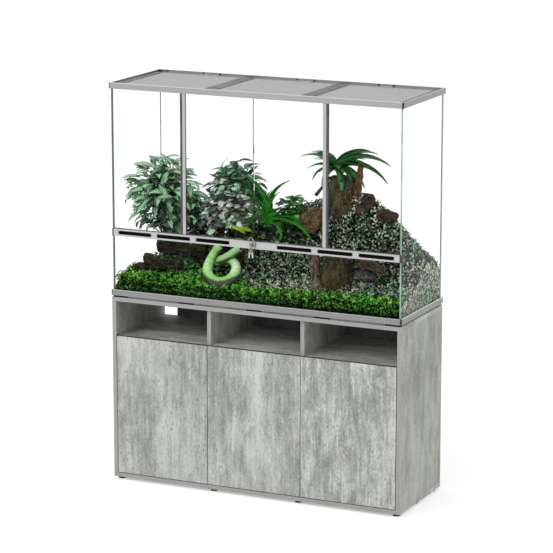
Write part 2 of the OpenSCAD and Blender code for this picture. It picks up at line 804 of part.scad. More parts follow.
// ---- Planting ----
// A layer between two surfaces over a rectangle, closed round its edges
module layer(x0, x1, y0, y1, nx, ny, low, high) {
    row = ny + 1;
    half = (nx + 1) * row;
    spots = [for (i = [0:nx], j = [0:ny]) [mix(x0, x1, i / nx), mix(y0, y1, j / ny)]];
    bottom = [for (s = spots) [s[0], s[1], low(s[0], s[1])]];
    top = [for (s = spots) [s[0], s[1], high(s[0], s[1])]];
    sheet = [for (i = [0:nx - 1], j = [0:ny - 1]) let (a = i * row + j)
        each [[a, a + row, a + row + 1], [a, a + row + 1, a + 1]]];
    under = [for (f = sheet) [f[0], f[1], f[2]]];
    upper = [for (f = sheet) [f[2] + half, f[1] + half, f[0] + half]];
    sides_x = [for (i = [0:nx - 1]) let (a = i * row, b = a + row, c = a + ny, d = b + ny)
        each [[a, a + half, b + half], [a, b + half, b], [d, d + half, c + half], [d, c + half, c]]];
    sides_y = [for (j = [0:ny - 1]) let (a = j + 1, b = j, c = nx * row + j, d = c + 1)
        each [[a, a + half, b + half], [a, b + half, b], [c, c + half, d + half], [c, d + half, d]]];
    polyhedron(points = concat(bottom, top), faces = concat(under, upper, sides_x, sides_y));
}

module substrate() {
    color([0.14, 0.11, 0.08]) layer(-soil_x, soil_x, -soil_y, soil_y, grid_x, grid_y,
        function (x, y) floor_z1, function (x, y) soil_z(x, y));
}

// Low leaves along the front
module ground_cover() {
    color([0.18, 0.42, 0.12]) layer(-soil_x + 2, soil_x - 2, -soil_y + 1, -soil_y + cover_depth, 60, 6,
        function (x, y) soil_z(x, y) - layer_in,
        function (x, y) soil_z(x, y) + leafy(x, y, cover_t));
}

// Creeping plants over the bank on the right and the rise in the middle
module creeper_bank() {
    color([0.22, 0.34, 0.20]) layer(creeper_left * soil_x, soil_x - 2, -soil_y + cover_depth + 2, soil_y - 1, 38, 15,
        function (x, y) soil_z(x, y) - layer_in,
        function (x, y) soil_z(x, y) + leafy(x, y, cover_t * 0.8));
}

// A log, thicker at its foot, from one place to another
module log(a, b, d0, d1) {
    v = b - a;
    len = norm(v);
    translate(a) rotate([0, acos(v[2] / len), atan2(v[1], v[0])])
        cylinder(d1 = d0, d2 = d1, h = len);
}

module driftwood() {
    color([0.30, 0.22, 0.15]) {
        difference() {
            log(spot(-0.799, -0.586, 125), spot(-0.425, -0.314, 84), 66, 58);
            log(spot(-0.799, -0.586, 125) - [8, 2, 0], spot(-0.799, -0.586, 125) + [60, 14, 7], 42, 40);
        }
        log(spot(-0.901, -0.732, 40), spot(-0.561, -0.627, 74), 34, 46);
        log(spot(-0.748, -0.314, 45), spot(-0.51, -0.105, 73), 60, 44);
        log(spot(0.446, 0.366, -76), spot(0.459, 0.408, 87), 130, 96);
        log(spot(0.51, 0.418, 17), spot(0.587, 0.387, 137), 44, 26);
        log(spot(0.349, -0.669, -13), spot(0.32, -0.314, 116), 40, 46);
        log(spot(0.255, -0.052, 1), spot(0.4, 0.157, 32), 40, 60);
    }
}

// A rough stone of about the given radius
module boulder(p, r, turn) {
    translate(p) rotate([turn, turn * 2, turn * 3]) hull() {
        cube([1.5 * r, 1.25 * r, 1.15 * r], center = true);
        rotate([35, 20, 45]) cube([1.2 * r, 1.45 * r, 0.95 * r], center = true);
    }
}

module rocks() {
    color([0.34, 0.30, 0.26]) {
        boulder(spot(0.434, -0.722, 85), 36, 10);
        boulder(spot(0.471, -0.617, 52), 48, 35);
        boulder(spot(0.529, -0.659, 43), 42, 60);
        boulder(spot(0.633, 0.209, 41), 48, 20);
        boulder(spot(0.689, 0.288, 30), 40, 50);
        boulder(spot(0.762, 0.314, 12), 42, 75);
        translate(spot(0.672, -0.669, 98)) rotate([12, 8, 6]) cube([120, 60, 34], center = true);
    }
}

// A bar of the given width across its own direction, at a place
module leaf_bar(p, az, w, t) {
    translate(p) rotate([0, 0, az]) cube([1.5, w, t], center = true);
}

// A bent leaf that leaves a place at the angle az, rising and then drooping
module leaf(base, az, el, len, wid, droop) {
    dir = [cos(el) * cos(az), cos(el) * sin(az), sin(el)];
    el_b = el - droop;
    dir_b = [cos(el_b) * cos(az), cos(el_b) * sin(az), sin(el_b)];
    el_c = el_b - droop;
    dir_c = [cos(el_c) * cos(az), cos(el_c) * sin(az), sin(el_c)];
    p2 = base + len * 0.5 * dir_b;
    p3 = p2 + len * 0.5 * dir_c;
    hull() { leaf_bar(base - 0.6 * dir, az, 2.8, 2.9); leaf_bar(p2, az, wid, 2.5); }
    hull() { leaf_bar(p2 - 0.7 * dir_b, az, wid - 1.1, 2.1); leaf_bar(p3, az, 1.7, 1.4); }
}

// The stem from the soil to a plant's crown
module crown_stem(c, foot, head) {
    hull() {
        leaf_bar([c[0], c[1], soil_z(c[0], c[1]) - root_in], 0, foot, foot);
        leaf_bar(c, 0, head, head);
    }
}

// The space that the plants may fill: inside the glass, behind the vent rail and the doors
module planting_space() {
    box(-soil_x, soil_x, front_clear, soil_y, floor_z1, glass_z1 - head_room);
}

// An arched leaf with its middle at a place, pointing ahead and facing up
module blade(mid, ahead, up, len, wid) {
    across = unit(cross(up, ahead));
    face = cross(ahead, across);
    multmatrix([
        [ahead[0], across[0], face[0], mid[0]],
        [ahead[1], across[1], face[1], mid[1]],
        [ahead[2], across[2], face[2], mid[2]]]) hull() {
        translate([-len / 2, 0, -len * leaf_arch]) cube([1.5, 3, 2.4], center = true);
        cube([1.5, wid, 2.4], center = true);
        translate([len / 2, 0, -len * leaf_arch]) cube([1.5, 1.8, 1.6], center = true);
    }
}

// A bush: leaves that face outwards over a rounded crown, each on its stalk from the stem's head
module bush(mid, half, count, len, wid) {
    head = mid - [0, 0, 0.45 * half[2]];
    crown_stem(head, 16, 10);
    for (k = [0:count - 1]) let (
        rise = 1 - (1 - bush_low) * (k + 0.5) / count,
        way = [sqrt(1 - rise * rise) * cos(k * golden), sqrt(1 - rise * rise) * sin(k * golden), rise],
        at = mid + (1 - leaf_layer * (k % 3)) * [way[0] * half[0], way[1] * half[1], way[2] * half[2]],
        ahead = unit(unit([way[0], way[1], 0]) + [0, 0, 0.55 * rise - leaf_droop])) {
        blade(at, ahead, 0.55 * way + [0, -0.25, 0.75], len, wid);
        hull() {
            translate(head) cube(3, center = true);
            translate(at - 0.49 * len * ahead - [0, 0, len * leaf_arch]) cube(2.6, center = true);
        }
    }
}

module broadleaf_plants() {
    color([0.20, 0.40, 0.22]) intersection() {
        planting_space();
        union() {
            bush(spot(-0.757, -0.314, bush_lift), broad_len * [1.25, 0.96, 1.17], bush_count,
                0.78 * broad_len, 0.9 * broad_wid);
            bush(spot(-0.714, -0.497, skirt_lift), broad_len * [1.17, 0.58, 0.5], skirt_count,
                0.7 * broad_len, 0.85 * broad_wid);
            bush(spot(-0.306, 0.209, dome_lift), broad_len * [0.92, 0.75, 0.96], dome_count,
                0.72 * broad_len, 0.7 * broad_wid);
            bush(spot(-0.378, -0.235, pale_lift), broad_len * [0.58, 0.5, 0.71], pale_count,
                0.36 * broad_len, 0.8 * broad_wid);
            bush(spot(0.128, -0.078, bright_lift), broad_len * [0.52, 0.42, 0.46], bright_count,
                0.3 * broad_len, 0.6 * broad_wid);
        }
    }
}

module rosette_plants() {
    // Crown, number of leaves, leaf length and width, steepest rise and first bend of each rosette
    crowns = [
        [spot(-0.01, -0.314, sword_lift), sword_count, sword_len, sword_wid, sword_rise, sword_bend],
        [spot(0.372, 0.314, fern_lift), fern_count, 1.05 * sword_len, sword_wid, fern_rise,
            fern_bend]];
    color([0.16, 0.48, 0.14]) intersection() {
        planting_space();
        union() {
            for (c = crowns) crown_stem(c[0], 18, 12);
            for (c = crowns, k = [0:c[1] - 1]) let (t = k / c[1])
                leaf(c[0], k * golden, c[4] - rosette_fan * t, c[2] * (0.85 + 0.2 * t), c[3],
                    c[5] * (1 + 0.3 * t));
        }
    }
}

// One and a half turns of body, lying tilted on the ground cover
module snake() {
    lift = snake_d + 2;
    color([0.45, 0.66, 0.30]) translate(spot(-0.269, -0.669, snake_lift)) rotate([62, 0, 0]) {
        rotate_extrude() translate([coil_w / 2, 0]) circle(d = snake_d);
        translate([0, 0, lift]) rotate([0, 0, 70])
            rotate_extrude(angle = 120) translate([coil_w / 2 - 2, 0]) circle(d = snake_d - 2);
    }
}

cabinet_side_left();
cabinet_side_right();
cabinet_top_panel();
cabinet_bottom_panel();
cabinet_dividers();
niche_shelves();
cabinet_back_panel();
cabinet_door(0);  // cabinet_door_left
cabinet_door(1);  // cabinet_door_centre
cabinet_door(2);  // cabinet_door_right
hinge_cups(0);  // hinge_cups_left
hinge_cups(1);  // hinge_cups_centre
hinge_cups(2);  // hinge_cups_right
hinge_arms();
push_latch_bodies();
latch_plunger(0);  // latch_plunger_left
latch_plunger(1);  // latch_plunger_centre
latch_plunger(2);  // latch_plunger_right
cabinet_feet();
tank_pads();
base_rails();
corner_caps();
top_rail_front();
top_rail_back();
top_rails_side();
floor_glass();
glass_sides();
glass_back();
glass_front_lower();
glass_front_fixed();
glass_door(-1);  // glass_door_left
glass_door(1);  // glass_door_right
door_stile(-1);  // door_stile_left
door_stile(1);  // door_stile_right
door_pull();
door_gaskets();
vent_rail();
vent_grilles();
rail_end_caps();
lock_escutcheon();
lock_cylinder();
key_ring();
keys();
lid_strips(0);  // lid_strips_left
lid_strips(1);  // lid_strips_centre
lid_strips(2);  // lid_strips_right
lid_mesh(0);  // lid_mesh_left
lid_mesh(1);  // lid_mesh_centre
lid_mesh(2);  // lid_mesh_right
port_shutter(0);  // port_shutter_left
port_shutter(1);  // port_shutter_centre
port_shutter(2);  // port_shutter_right
substrate();
ground_cover();
creeper_bank();
driftwood();
rocks();
broadleaf_plants();
rosette_plants();
snake();
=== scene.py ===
"""Terrarium cabinet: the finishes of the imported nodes, the planting and the small trim."""

import logging
import math
from dataclasses import dataclass
from enum import Enum
from typing import Callable, Iterable, Sequence

import bmesh
import bpy
import numpy as np
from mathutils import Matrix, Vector


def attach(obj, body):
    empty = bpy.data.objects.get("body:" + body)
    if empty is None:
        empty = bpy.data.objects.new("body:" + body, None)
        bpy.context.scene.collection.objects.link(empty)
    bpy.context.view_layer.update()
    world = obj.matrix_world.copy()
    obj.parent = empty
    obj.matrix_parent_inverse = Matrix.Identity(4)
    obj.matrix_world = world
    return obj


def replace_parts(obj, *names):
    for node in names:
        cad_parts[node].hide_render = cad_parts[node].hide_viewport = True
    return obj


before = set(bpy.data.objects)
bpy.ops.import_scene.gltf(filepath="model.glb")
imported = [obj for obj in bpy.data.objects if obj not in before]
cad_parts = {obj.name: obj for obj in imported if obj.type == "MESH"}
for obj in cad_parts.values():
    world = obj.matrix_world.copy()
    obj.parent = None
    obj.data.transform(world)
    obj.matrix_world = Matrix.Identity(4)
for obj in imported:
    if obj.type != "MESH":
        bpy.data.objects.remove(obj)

LOG = logging.getLogger("terrarium_cabinet")
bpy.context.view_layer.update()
GOLDEN_ANGLE = math.pi * (3 - math.sqrt(5))
LIGHT_PASSED = 0.97
LEAF_UV = "leaf"
WELD = 1e-6
UP = np.array([0.0, 0.0, 1.0])
LEVEL = np.array([1.0, 1.0, 0.0])

Colour = tuple[float, float, float]
Point = tuple[float, float, float]
Span = tuple[float, float]
Socket = bpy.types.NodeSocket


def scaled(colour: Colour, factor: float) -> Colour:
    """Returns a colour made lighter or darker by a factor."""
    return tuple(factor * part for part in colour)


# ---------------------------------------------------------------- shader graph helpers
class Graph:
    """Adds and links nodes in one node tree."""

    def __init__(self, tree: bpy.types.NodeTree) -> None:
        """Takes the tree that the nodes go into."""
        self.tree = tree

    def node(self, kind: str, inputs: dict | None = None, **settings: object) -> bpy.types.Node:
        """Adds a node.

        Args:
            kind: the node's type name.
            inputs: a value or an output socket for each named or numbered input.
            settings: the node's own properties.

        Returns:
            The new node.
        """
        made = self.tree.nodes.new(kind)
        for key, value in settings.items():
            setattr(made, key, value)
        for key, value in (inputs or {}).items():
            self.feed(made.inputs[key], value)
        return made

    def feed(self, socket: Socket, value: object) -> None:
        """Links an output into a socket, or sets the socket's own value.

        Args:
            socket: the input.
            value: an output socket, a number, a vector, or a colour of three numbers.
        """
        if isinstance(value, Socket):
            self.tree.links.new(value, socket)
        elif isinstance(value, (tuple, list)) and socket.type == "RGBA" and len(value) == 3:
            socket.default_value = (*value, 1.0)
        else:
            socket.default_value = value

    def math(self, operation: str, a: object, b: object = 0.0) -> Socket:
        """Returns the output of a Math node on two values."""
        return self.node("ShaderNodeMath", {0: a, 1: b}, operation=operation).outputs[0]

    def plus(self, a: object, b: object) -> Socket:
        """Returns the sum of two values."""
        return self.math("ADD", a, b)

    def minus(self, a: object, b: object) -> Socket:
        """Returns the first value less the second."""
        return self.math("SUBTRACT", a, b)

    def times(self, a: object, b: object) -> Socket:
        """Returns the product of two values."""
        return self.math("MULTIPLY", a, b)

    def larger(self, a: object, b: object) -> Socket:
        """Returns the larger of two values."""
        return self.math("MAXIMUM", a, b)

    def size(self, value: object) -> Socket:
        """Returns a value without its sign."""
        return self.math("ABSOLUTE", value)

    def below(self, value: object, limit: float) -> Socket:
        """Returns one where a value is below a limit, and zero elsewhere."""
        return self.math("LESS_THAN", value, limit)

    def mix(self, factor: object, a: object, b: object) -> Socket:
        """Returns the colour output of a Mix node."""
        return self.node("ShaderNodeMix", {0: factor, 6: a, 7: b}, data_type="RGBA").outputs[2]

    def ramp(self, value: object, low: float, high: float) -> Socket:
        """Returns a value spread smoothly from 0 at low to 1 at high."""
        return self.node("ShaderNodeMapRange", {0: value, 1: low, 2: high, 3: 0.0, 4: 1.0},
                         interpolation_type="SMOOTHSTEP").outputs[0]

    def noise(self, vector: object, scale: float, detail: float, rough: float,
              distort: float = 0.0) -> Socket:
        """Returns the value output of a noise texture."""
        return self.node("ShaderNodeTexNoise", {"Vector": vector, "Scale": scale, "Detail": detail,
                                                "Roughness": rough, "Distortion": distort}).outputs[0]

    def mapping(self, vector: object, scale: Point) -> Socket:
        """Returns a vector stretched by a scale."""
        return self.node("ShaderNodeMapping", {"Vector": vector, "Scale": scale}).outputs[0]

    def turned(self, vector: object, turn: Point, shift: Point = (0.0, 0.0, 0.0)) -> Socket:
        """Returns a vector turned by three angles and moved by a shift."""
        sockets = {"Vector": vector, "Rotation": turn, "Location": shift}
        return self.node("ShaderNodeMapping", sockets).outputs[0]

    def place(self) -> Socket:
        """Returns the place on the object."""
        return self.node("ShaderNodeTexCoord").outputs["Object"]

    def facing(self, axis: int) -> Socket:
        """Returns one part of the direction that the surface faces."""
        return self.part(self.node("ShaderNodeTexCoord").outputs["Normal"], axis)

    def part(self, vector: object, axis: int) -> Socket:
        """Returns one of a vector's three numbers."""
        return self.node("ShaderNodeSeparateXYZ", {0: vector}).outputs[axis]

    def passing(self, share: float) -> Socket:
        """Makes an alpha that lets light through, and that the camera sees as solid.

        Args:
            share: the share of the lamps' and the scattered light that passes.

        Returns:
            The alpha.
        """
        path = self.node("ShaderNodeLightPath").outputs
        return self.minus(1.0, self.times(self.larger(path["Is Shadow Ray"], path["Is Diffuse Ray"]), share))

    def seen(self) -> Socket:
        """Returns one for the camera, reflections and glass, and zero for scattered light.

        Returns:
            One where the ray is of those kinds, else nought.
        """
        path = self.node("ShaderNodeLightPath").outputs
        return self.larger(path["Is Camera Ray"],
                           self.larger(path["Is Glossy Ray"], path["Is Transmission Ray"]))

    def bump(self, height: object, strength: float, distance: float) -> Socket:
        """Returns the normal of a Bump node."""
        sockets = {"Height": height, "Strength": strength, "Distance": distance}
        return self.node("ShaderNodeBump", sockets).outputs[0]


class Groups:
    """The shader node groups that more than one finish uses, each built once."""

    def __init__(self) -> None:
        """Builds every group."""
        self.weathered = self._weathered()
        self.brushed = self._brushed()
        self.rugged = self._rugged()
        self.leaf = self._leaf()

    @staticmethod
    def _start(name: str, outputs: Sequence[str], **values: float) -> tuple[Graph, dict, dict]:
        """Makes a group that takes a vector.

        Args:
            name: the group's name.
            outputs: the names of the values that it puts out.
            values: the names and defaults of the values that it also takes.

        Returns:
            Its graph, its inputs by name and the sockets to feed by name.
        """
        tree = bpy.data.node_groups.new(name, "ShaderNodeTree")
        tree.interface.new_socket(name="Vector", in_out="INPUT", socket_type="NodeSocketVector")
        for label, default in values.items():
            taken = tree.interface.new_socket(name=label, in_out="INPUT", socket_type="NodeSocketFloat")
            taken.default_value = default
        for label in outputs:
            tree.interface.new_socket(name=label, in_out="OUTPUT", socket_type="NodeSocketFloat")
        graph = Graph(tree)
        entry, leave = graph.node("NodeGroupInput"), graph.node("NodeGroupOutput")
        inlets = {socket.name: socket for socket in entry.outputs if socket.name}
        return graph, inlets, {socket.name: socket for socket in leave.inputs if socket.name}

    def _weathered(self) -> bpy.types.NodeTree:
        """Makes blotches, fine streaks along local Z and small pits, as on cast concrete.

        Returns:
            The group's tree.
        """
        g, given, out = self._start("weathered_board", ("Shade", "Pits", "Height"))
        where = given["Vector"]
        cloud = g.noise(g.mapping(where, (5.0, 5.0, 2.4)), 1.0, 5.0, 0.60, 0.6)
        patch = g.noise(g.mapping(where, (17.0, 17.0, 7.0)), 1.0, 8.0, 0.70, 0.8)
        streak = g.noise(g.mapping(where, (180.0, 180.0, 6.0)), 1.0, 4.0, 0.65)
        drip = g.noise(g.mapping(where, (46.0, 46.0, 5.0)), 1.0, 5.0, 0.65, 0.2)
        grit = g.noise(g.mapping(where, (210.0, 210.0, 110.0)), 1.0, 4.0, 0.7)
        shade = g.times(cloud, 0.26)
        for value, share in ((patch, 0.25), (streak, 0.15), (drip, 0.14), (grit, 0.20)):
            shade = g.plus(shade, g.times(value, share))
        cell = g.node("ShaderNodeTexVoronoi", {"Vector": g.mapping(where, (62.0, 62.0, 30.0)), "Scale": 1.0,
                                               "Randomness": 1.0}).outputs[0]
        pits = g.times(g.minus(1.0, g.ramp(cell, 0.12, 0.28)), g.ramp(patch, 0.47, 0.56))
        g.feed(out["Shade"], g.ramp(shade, 0.415, 0.585))
        g.feed(out["Pits"], pits)
        g.feed(out["Height"], g.minus(g.times(g.plus(streak, grit), 0.5), pits))
        return g.tree

    def _brushed(self) -> bpy.types.NodeTree:
        """Makes fine lines along local X and faint handling marks, as on drawn metal.

        Returns:
            The group's tree.
        """
        g, given, out = self._start("drawn_metal", ("Lines", "Marks"))
        where = given["Vector"]
        fine = g.noise(g.mapping(where, (3.0, 900.0, 900.0)), 1.0, 3.0, 0.6)
        wide = g.noise(g.mapping(where, (1.2, 160.0, 160.0)), 1.0, 2.0, 0.5)
        g.feed(out["Lines"], g.plus(g.times(fine, 0.6), g.times(wide, 0.4)))
        g.feed(out["Marks"], g.noise(where, 9.0, 5.0, 0.6))
        return g.tree

    def _rugged(self) -> bpy.types.NodeTree:
        """Makes broken tones and a rough height, for bark, stone and soil.

        Returns:
            The group's tree.
        """
        g, given, out = self._start("rugged_surface", ("Tone", "Cracks", "Height"))
        where = given["Vector"]
        tone = g.times(g.noise(where, 1.0, 7.0, 0.66, 0.5), 0.7)
        fine = g.noise(where, 7.0, 5.0, 0.65)
        cell = g.node("ShaderNodeTexVoronoi", {"Vector": where, "Scale": 2.6, "Randomness": 1.0},
                      feature="DISTANCE_TO_EDGE").outputs[0]
        cracks = g.minus(1.0, g.ramp(cell, 0.0, 0.12))
        g.feed(out["Tone"], g.ramp(g.plus(tone, g.times(fine, 0.3)), 0.36, 0.64))
        g.feed(out["Cracks"], cracks)
        g.feed(out["Height"], g.minus(g.plus(tone, g.times(fine, 0.4)), g.times(cracks, 0.35)))
        return g.tree

    def _leaf(self) -> bpy.types.NodeTree:
        """Makes a midrib and side veins over a leaf's own UV map, with feathered patches between them.

        Returns:
            The group's tree.
        """
        g, given, out = self._start("leaf_face", ("Rib", "Vein", "Feather", "Rim"), Veins=9.0)
        split = g.node("ShaderNodeSeparateXYZ", {0: given["Vector"]}).outputs
        across = g.size(g.minus(split[0], 0.5))
        along = g.minus(split[1], g.times(across, 0.55))
        wave = g.math("SINE", g.times(g.times(along, given["Veins"]), math.tau))
        spots = g.noise(g.place(), 55.0, 4.0, 0.65)
        inside = g.minus(1.0, g.ramp(across, 0.28, 0.42))
        g.feed(out["Rib"], g.minus(1.0, g.ramp(across, 0.01, 0.05)))
        g.feed(out["Vein"], g.ramp(wave, 0.55, 1.0))
        g.feed(out["Feather"], g.times(g.ramp(g.plus(wave, g.times(spots, 2.0)), 0.5, 1.5), inside))
        g.feed(out["Rim"], g.ramp(across, 0.34, 0.46))
        return g.tree


class Paint(Graph):
    """The graph of one material, with its Principled shader and the shared groups."""

    def __init__(self, material: bpy.types.Material, groups: Groups) -> None:
        """Takes over a material's tree.

        Args:
            material: the new material.
            groups: the shared shader groups.
        """
        material.use_nodes = True
        super().__init__(material.node_tree)
        self.shader = material.node_tree.nodes["Principled BSDF"]
        self.groups = groups

    def set(self, label: str, value: object) -> None:
        """Feeds one of the shader's inputs."""
        self.feed(self.shader.inputs[label], value)

    def group(self, tree: bpy.types.NodeTree, **inputs: object) -> bpy.types.bpy_prop_collection:
        """Returns the outputs of a shared group."""
        return self.node("ShaderNodeGroup", inputs, node_tree=tree).outputs


class Finish:
    """A material with one Principled shader, built on first use."""

    name: str

    def make(self, groups: Groups) -> bpy.types.Material:
        """Builds the material.

        Args:
            groups: the shared shader groups.

        Returns:
            The finished material.
        """
        material = bpy.data.materials.new(self.name)
        self.dress(Paint(material, groups))
        return material

    def dress(self, g: Paint) -> None:
        """Fills in the shader; each finish has its own."""
        raise NotImplementedError(g)


class Run(Enum):
    """The direction that a board's or rail's lines run in."""

    UPRIGHT = (0.0, 0.0, 0.0)
    ALONG_X = (0.0, math.pi / 2, 0.0)
    ALONG_Y = (math.pi / 2, 0.0, 0.0)


@dataclass(frozen=True)
class ConcreteBoard(Finish):
    """Melamine board with a concrete print, plain edge bands at the front and painted shade in the gaps round
    the doors.

    The places and the sizes are metres. All in front of band_front is edge band. What looks sideways
    inside the reveal, which is the doors' opening by its half width, its back and its top, gets painted
    shade, so that the gaps round the doors read dark. With rim under one, every sideways face gets
    painted shade by the share one less rim.
    """

    name: str = "concrete_board"
    run: Run = Run.UPRIGHT
    dark: Colour = (0.250, 0.258, 0.240)
    light: Colour = (0.610, 0.625, 0.590)
    band: Colour = (0.42, 0.42, 0.41)
    pit: Colour = (0.12, 0.12, 0.12)
    # painted shade: the near-black colour of sideways faces in the gaps round the doors
    gap_shade: Colour = (0.02, 0.02, 0.02)
    band_front: float = -1.0
    # one less rim is the share of painted shade on every sideways face
    rim: float = 1.0
    shift: Point = (0.0, 0.0, 0.0)
    # the box inside which sideways faces get painted shade
    reveal: Point = (0.590, -0.1835, 0.578)

    def dress(self, g: Paint) -> None:
        """Mixes the print's tones, gives the edge bands their own and paints shade on the faces in the gaps
        round the doors.

        Args:
            g: the material's graph.
        """
        place = g.place()
        turned = g.turned(place, self.run.value, self.shift)
        board = g.group(g.groups.weathered, Vector=turned)
        colour = g.mix(board["Shade"], self.dark, self.light)
        colour = g.mix(g.times(board["Pits"], 0.55), colour, self.pit)
        split = g.node("ShaderNodeSeparateXYZ", {0: place}).outputs
        line = g.noise(g.mapping(turned, (700.0, 700.0, 9.0)), 1.0, 3.0, 0.6)
        band = g.mix(g.ramp(line, 0.35, 0.65), scaled(self.band, 0.78), self.band)
        narrow = g.minus(1.0, g.ramp(g.size(g.facing(1)), 0.4, 0.6))
        half_width, back, top = self.reveal
        within = g.times(g.below(g.size(split[0]), half_width),
                         g.times(g.below(split[1], back), g.below(split[2], top)))
        # painted shade in the door gaps, and on all sideways faces by one less rim
        gap_shade = g.times(narrow, g.larger(1.0 - self.rim, g.times(within, 0.92)))
        g.set("Base Color", g.mix(gap_shade, g.mix(g.below(split[1], self.band_front), colour, band), self.gap_shade))
        g.set("Specular IOR Level", 0.3)
        g.set("Roughness", g.plus(0.55, g.times(board["Shade"], 0.15)))
        g.set("Normal", g.bump(board["Height"], 0.25, 0.0004))


@dataclass(frozen=True)
class DrawnMetal(Finish):
    """Satin metal with fine lines along its length, and a painted highlight on faces that look up, whose
    colour is lifted by the factor top.
    """

    name: str
    colour: Colour
    roughness: float = 0.38
    run: Run = Run.UPRIGHT
    # painted highlight: the colour of faces that look up is multiplied by top
    top: float = 1.0

    def dress(self, g: Paint) -> None:
        """Varies the tone and the roughness along the lines.

        Args:
            g: the material's graph.
        """
        metal = g.group(g.groups.brushed, Vector=g.turned(g.place(), self.run.value))
        colour = g.mix(g.ramp(metal["Lines"], 0.3, 0.7), scaled(self.colour, 0.86), self.colour)
        # painted highlight on faces that look up
        g.set("Base Color", g.mix(g.ramp(g.facing(2), 0.3, 0.7), colour, scaled(self.colour, self.top)))
        g.set("Roughness", g.plus(self.roughness - 0.06, g.times(metal["Marks"], 0.16)))
        g.set("Metallic", 1.0)
        g.set("Normal", g.bump(metal["Lines"], 0.12, 0.0002))


@dataclass(frozen=True)
class Moulded(Finish):
    """Moulded plastic, rubber or paint with a fine grain."""

    name: str
    colour: Colour
    roughness: float = 0.5
    specular: float = 0.4

    def dress(self, g: Paint) -> None:
        """Gives the colour faint clouds, and the face a fine grain.

        Args:
            g: the material's graph.
        """
        place = g.place()
        cloud = g.noise(place, 14.0, 4.0, 0.6)
        g.set("Base Color", g.mix(g.ramp(cloud, 0.35, 0.65),
                                  scaled(self.colour, 0.8), scaled(self.colour, 1.2)))
        g.set("Roughness", g.plus(self.roughness - 0.08, g.times(cloud, 0.16)))
        g.set("Specular IOR Level", self.specular)
        g.set("Normal", g.bump(g.noise(place, 900.0, 2.0, 0.5), 0.2, 0.0002))


@dataclass(frozen=True)
class Gauze(Finish):
    """Fine woven gauze of the lids, its wires 1.3 millimetres apart."""

    name: str = "lid_gauze"
    wire: Colour = (0.57, 0.57, 0.565)
    gap: Colour = (0.30, 0.30, 0.30)
    dust: Colour = (0.42, 0.42, 0.42)
    pitch: float = 0.0013

    def dress(self, g: Paint) -> None:
        """Draws the two sets of wires, and lets the light through to the planting.

        Args:
            g: the material's graph.
        """
        place = g.place()
        split = g.node("ShaderNodeSeparateXYZ", {0: place}).outputs
        weave = g.larger(*(g.math("SINE", g.times(split[axis], math.tau / self.pitch)) for axis in (0, 1)))
        colour = g.mix(g.ramp(weave, 0.2, 0.8), self.gap, self.wire)
        g.set("Base Color", g.mix(g.times(g.noise(place, 3.0, 3.0, 0.5), 0.35), colour, self.dust))
        g.set("Metallic", 0.0)
        g.set("Roughness", 0.6)
        g.set("Specular IOR Level", 0.2)
        g.set("Normal", g.bump(weave, 0.3, 0.0003))
        g.set("Alpha", g.passing(LIGHT_PASSED))


@dataclass(frozen=True)
class PaneGlass(Finish):
    """Clear float glass, green where one looks into its edges; its large faces look along face_axis."""

    name: str
    face_axis: int
    clear: Colour = (0.985, 0.995, 0.99)
    edge: Colour = (0.22, 0.46, 0.38)
    glint: Colour = (0.12, 0.12, 0.12)
    ior: float = 1.45

    def dress(self, g: Paint) -> None:
        """Tints the narrow faces by the way they point, and lets light through to the planting.

        Args:
            g: the material's graph.
        """
        facing = g.size(g.facing(self.face_axis))
        g.set("Base Color", g.mix(g.ramp(facing, 0.4, 0.6), self.edge, self.clear))
        g.set("Roughness", 0.0)
        g.set("Transmission Weight", 1.0)
        g.set("IOR", self.ior)
        g.set("Specular Tint", self.glint)
        g.set("Alpha", g.passing(LIGHT_PASSED))


@dataclass(frozen=True)
class Rugged(Finish):
    """Soil, bark or stone: two tones, dark cracks and a rough face."""

    name: str
    low: Colour
    high: Colour
    crack: Colour = (0.006, 0.005, 0.004)
    stretch: Point = (30.0, 30.0, 30.0)
    relief: float = 0.004
    moss: Colour = (0.05, 0.10, 0.02)
    moss_share: float = 0.0

    def dress(self, g: Paint) -> None:
        """Mixes the tones, sinks the cracks and lays moss on faces that look up.

        Args:
            g: the material's graph.
        """
        place = g.place()
        rough = g.group(g.groups.rugged, Vector=g.mapping(place, self.stretch))
        colour = g.mix(rough["Tone"], self.low, self.high)
        colour = g.mix(g.times(rough["Cracks"], 0.8), colour, self.crack)
        growth = g.ramp(g.plus(g.facing(2), g.noise(place, 35.0, 5.0, 0.7)), 0.85, 1.35)
        g.set("Base Color", g.mix(g.times(growth, self.moss_share), colour, self.moss))
        g.set("Roughness", g.plus(0.75, g.times(rough["Tone"], 0.15)))
        g.set("Specular IOR Level", 0.08)
        g.set("Normal", g.bump(rough["Height"], 0.9, self.relief))


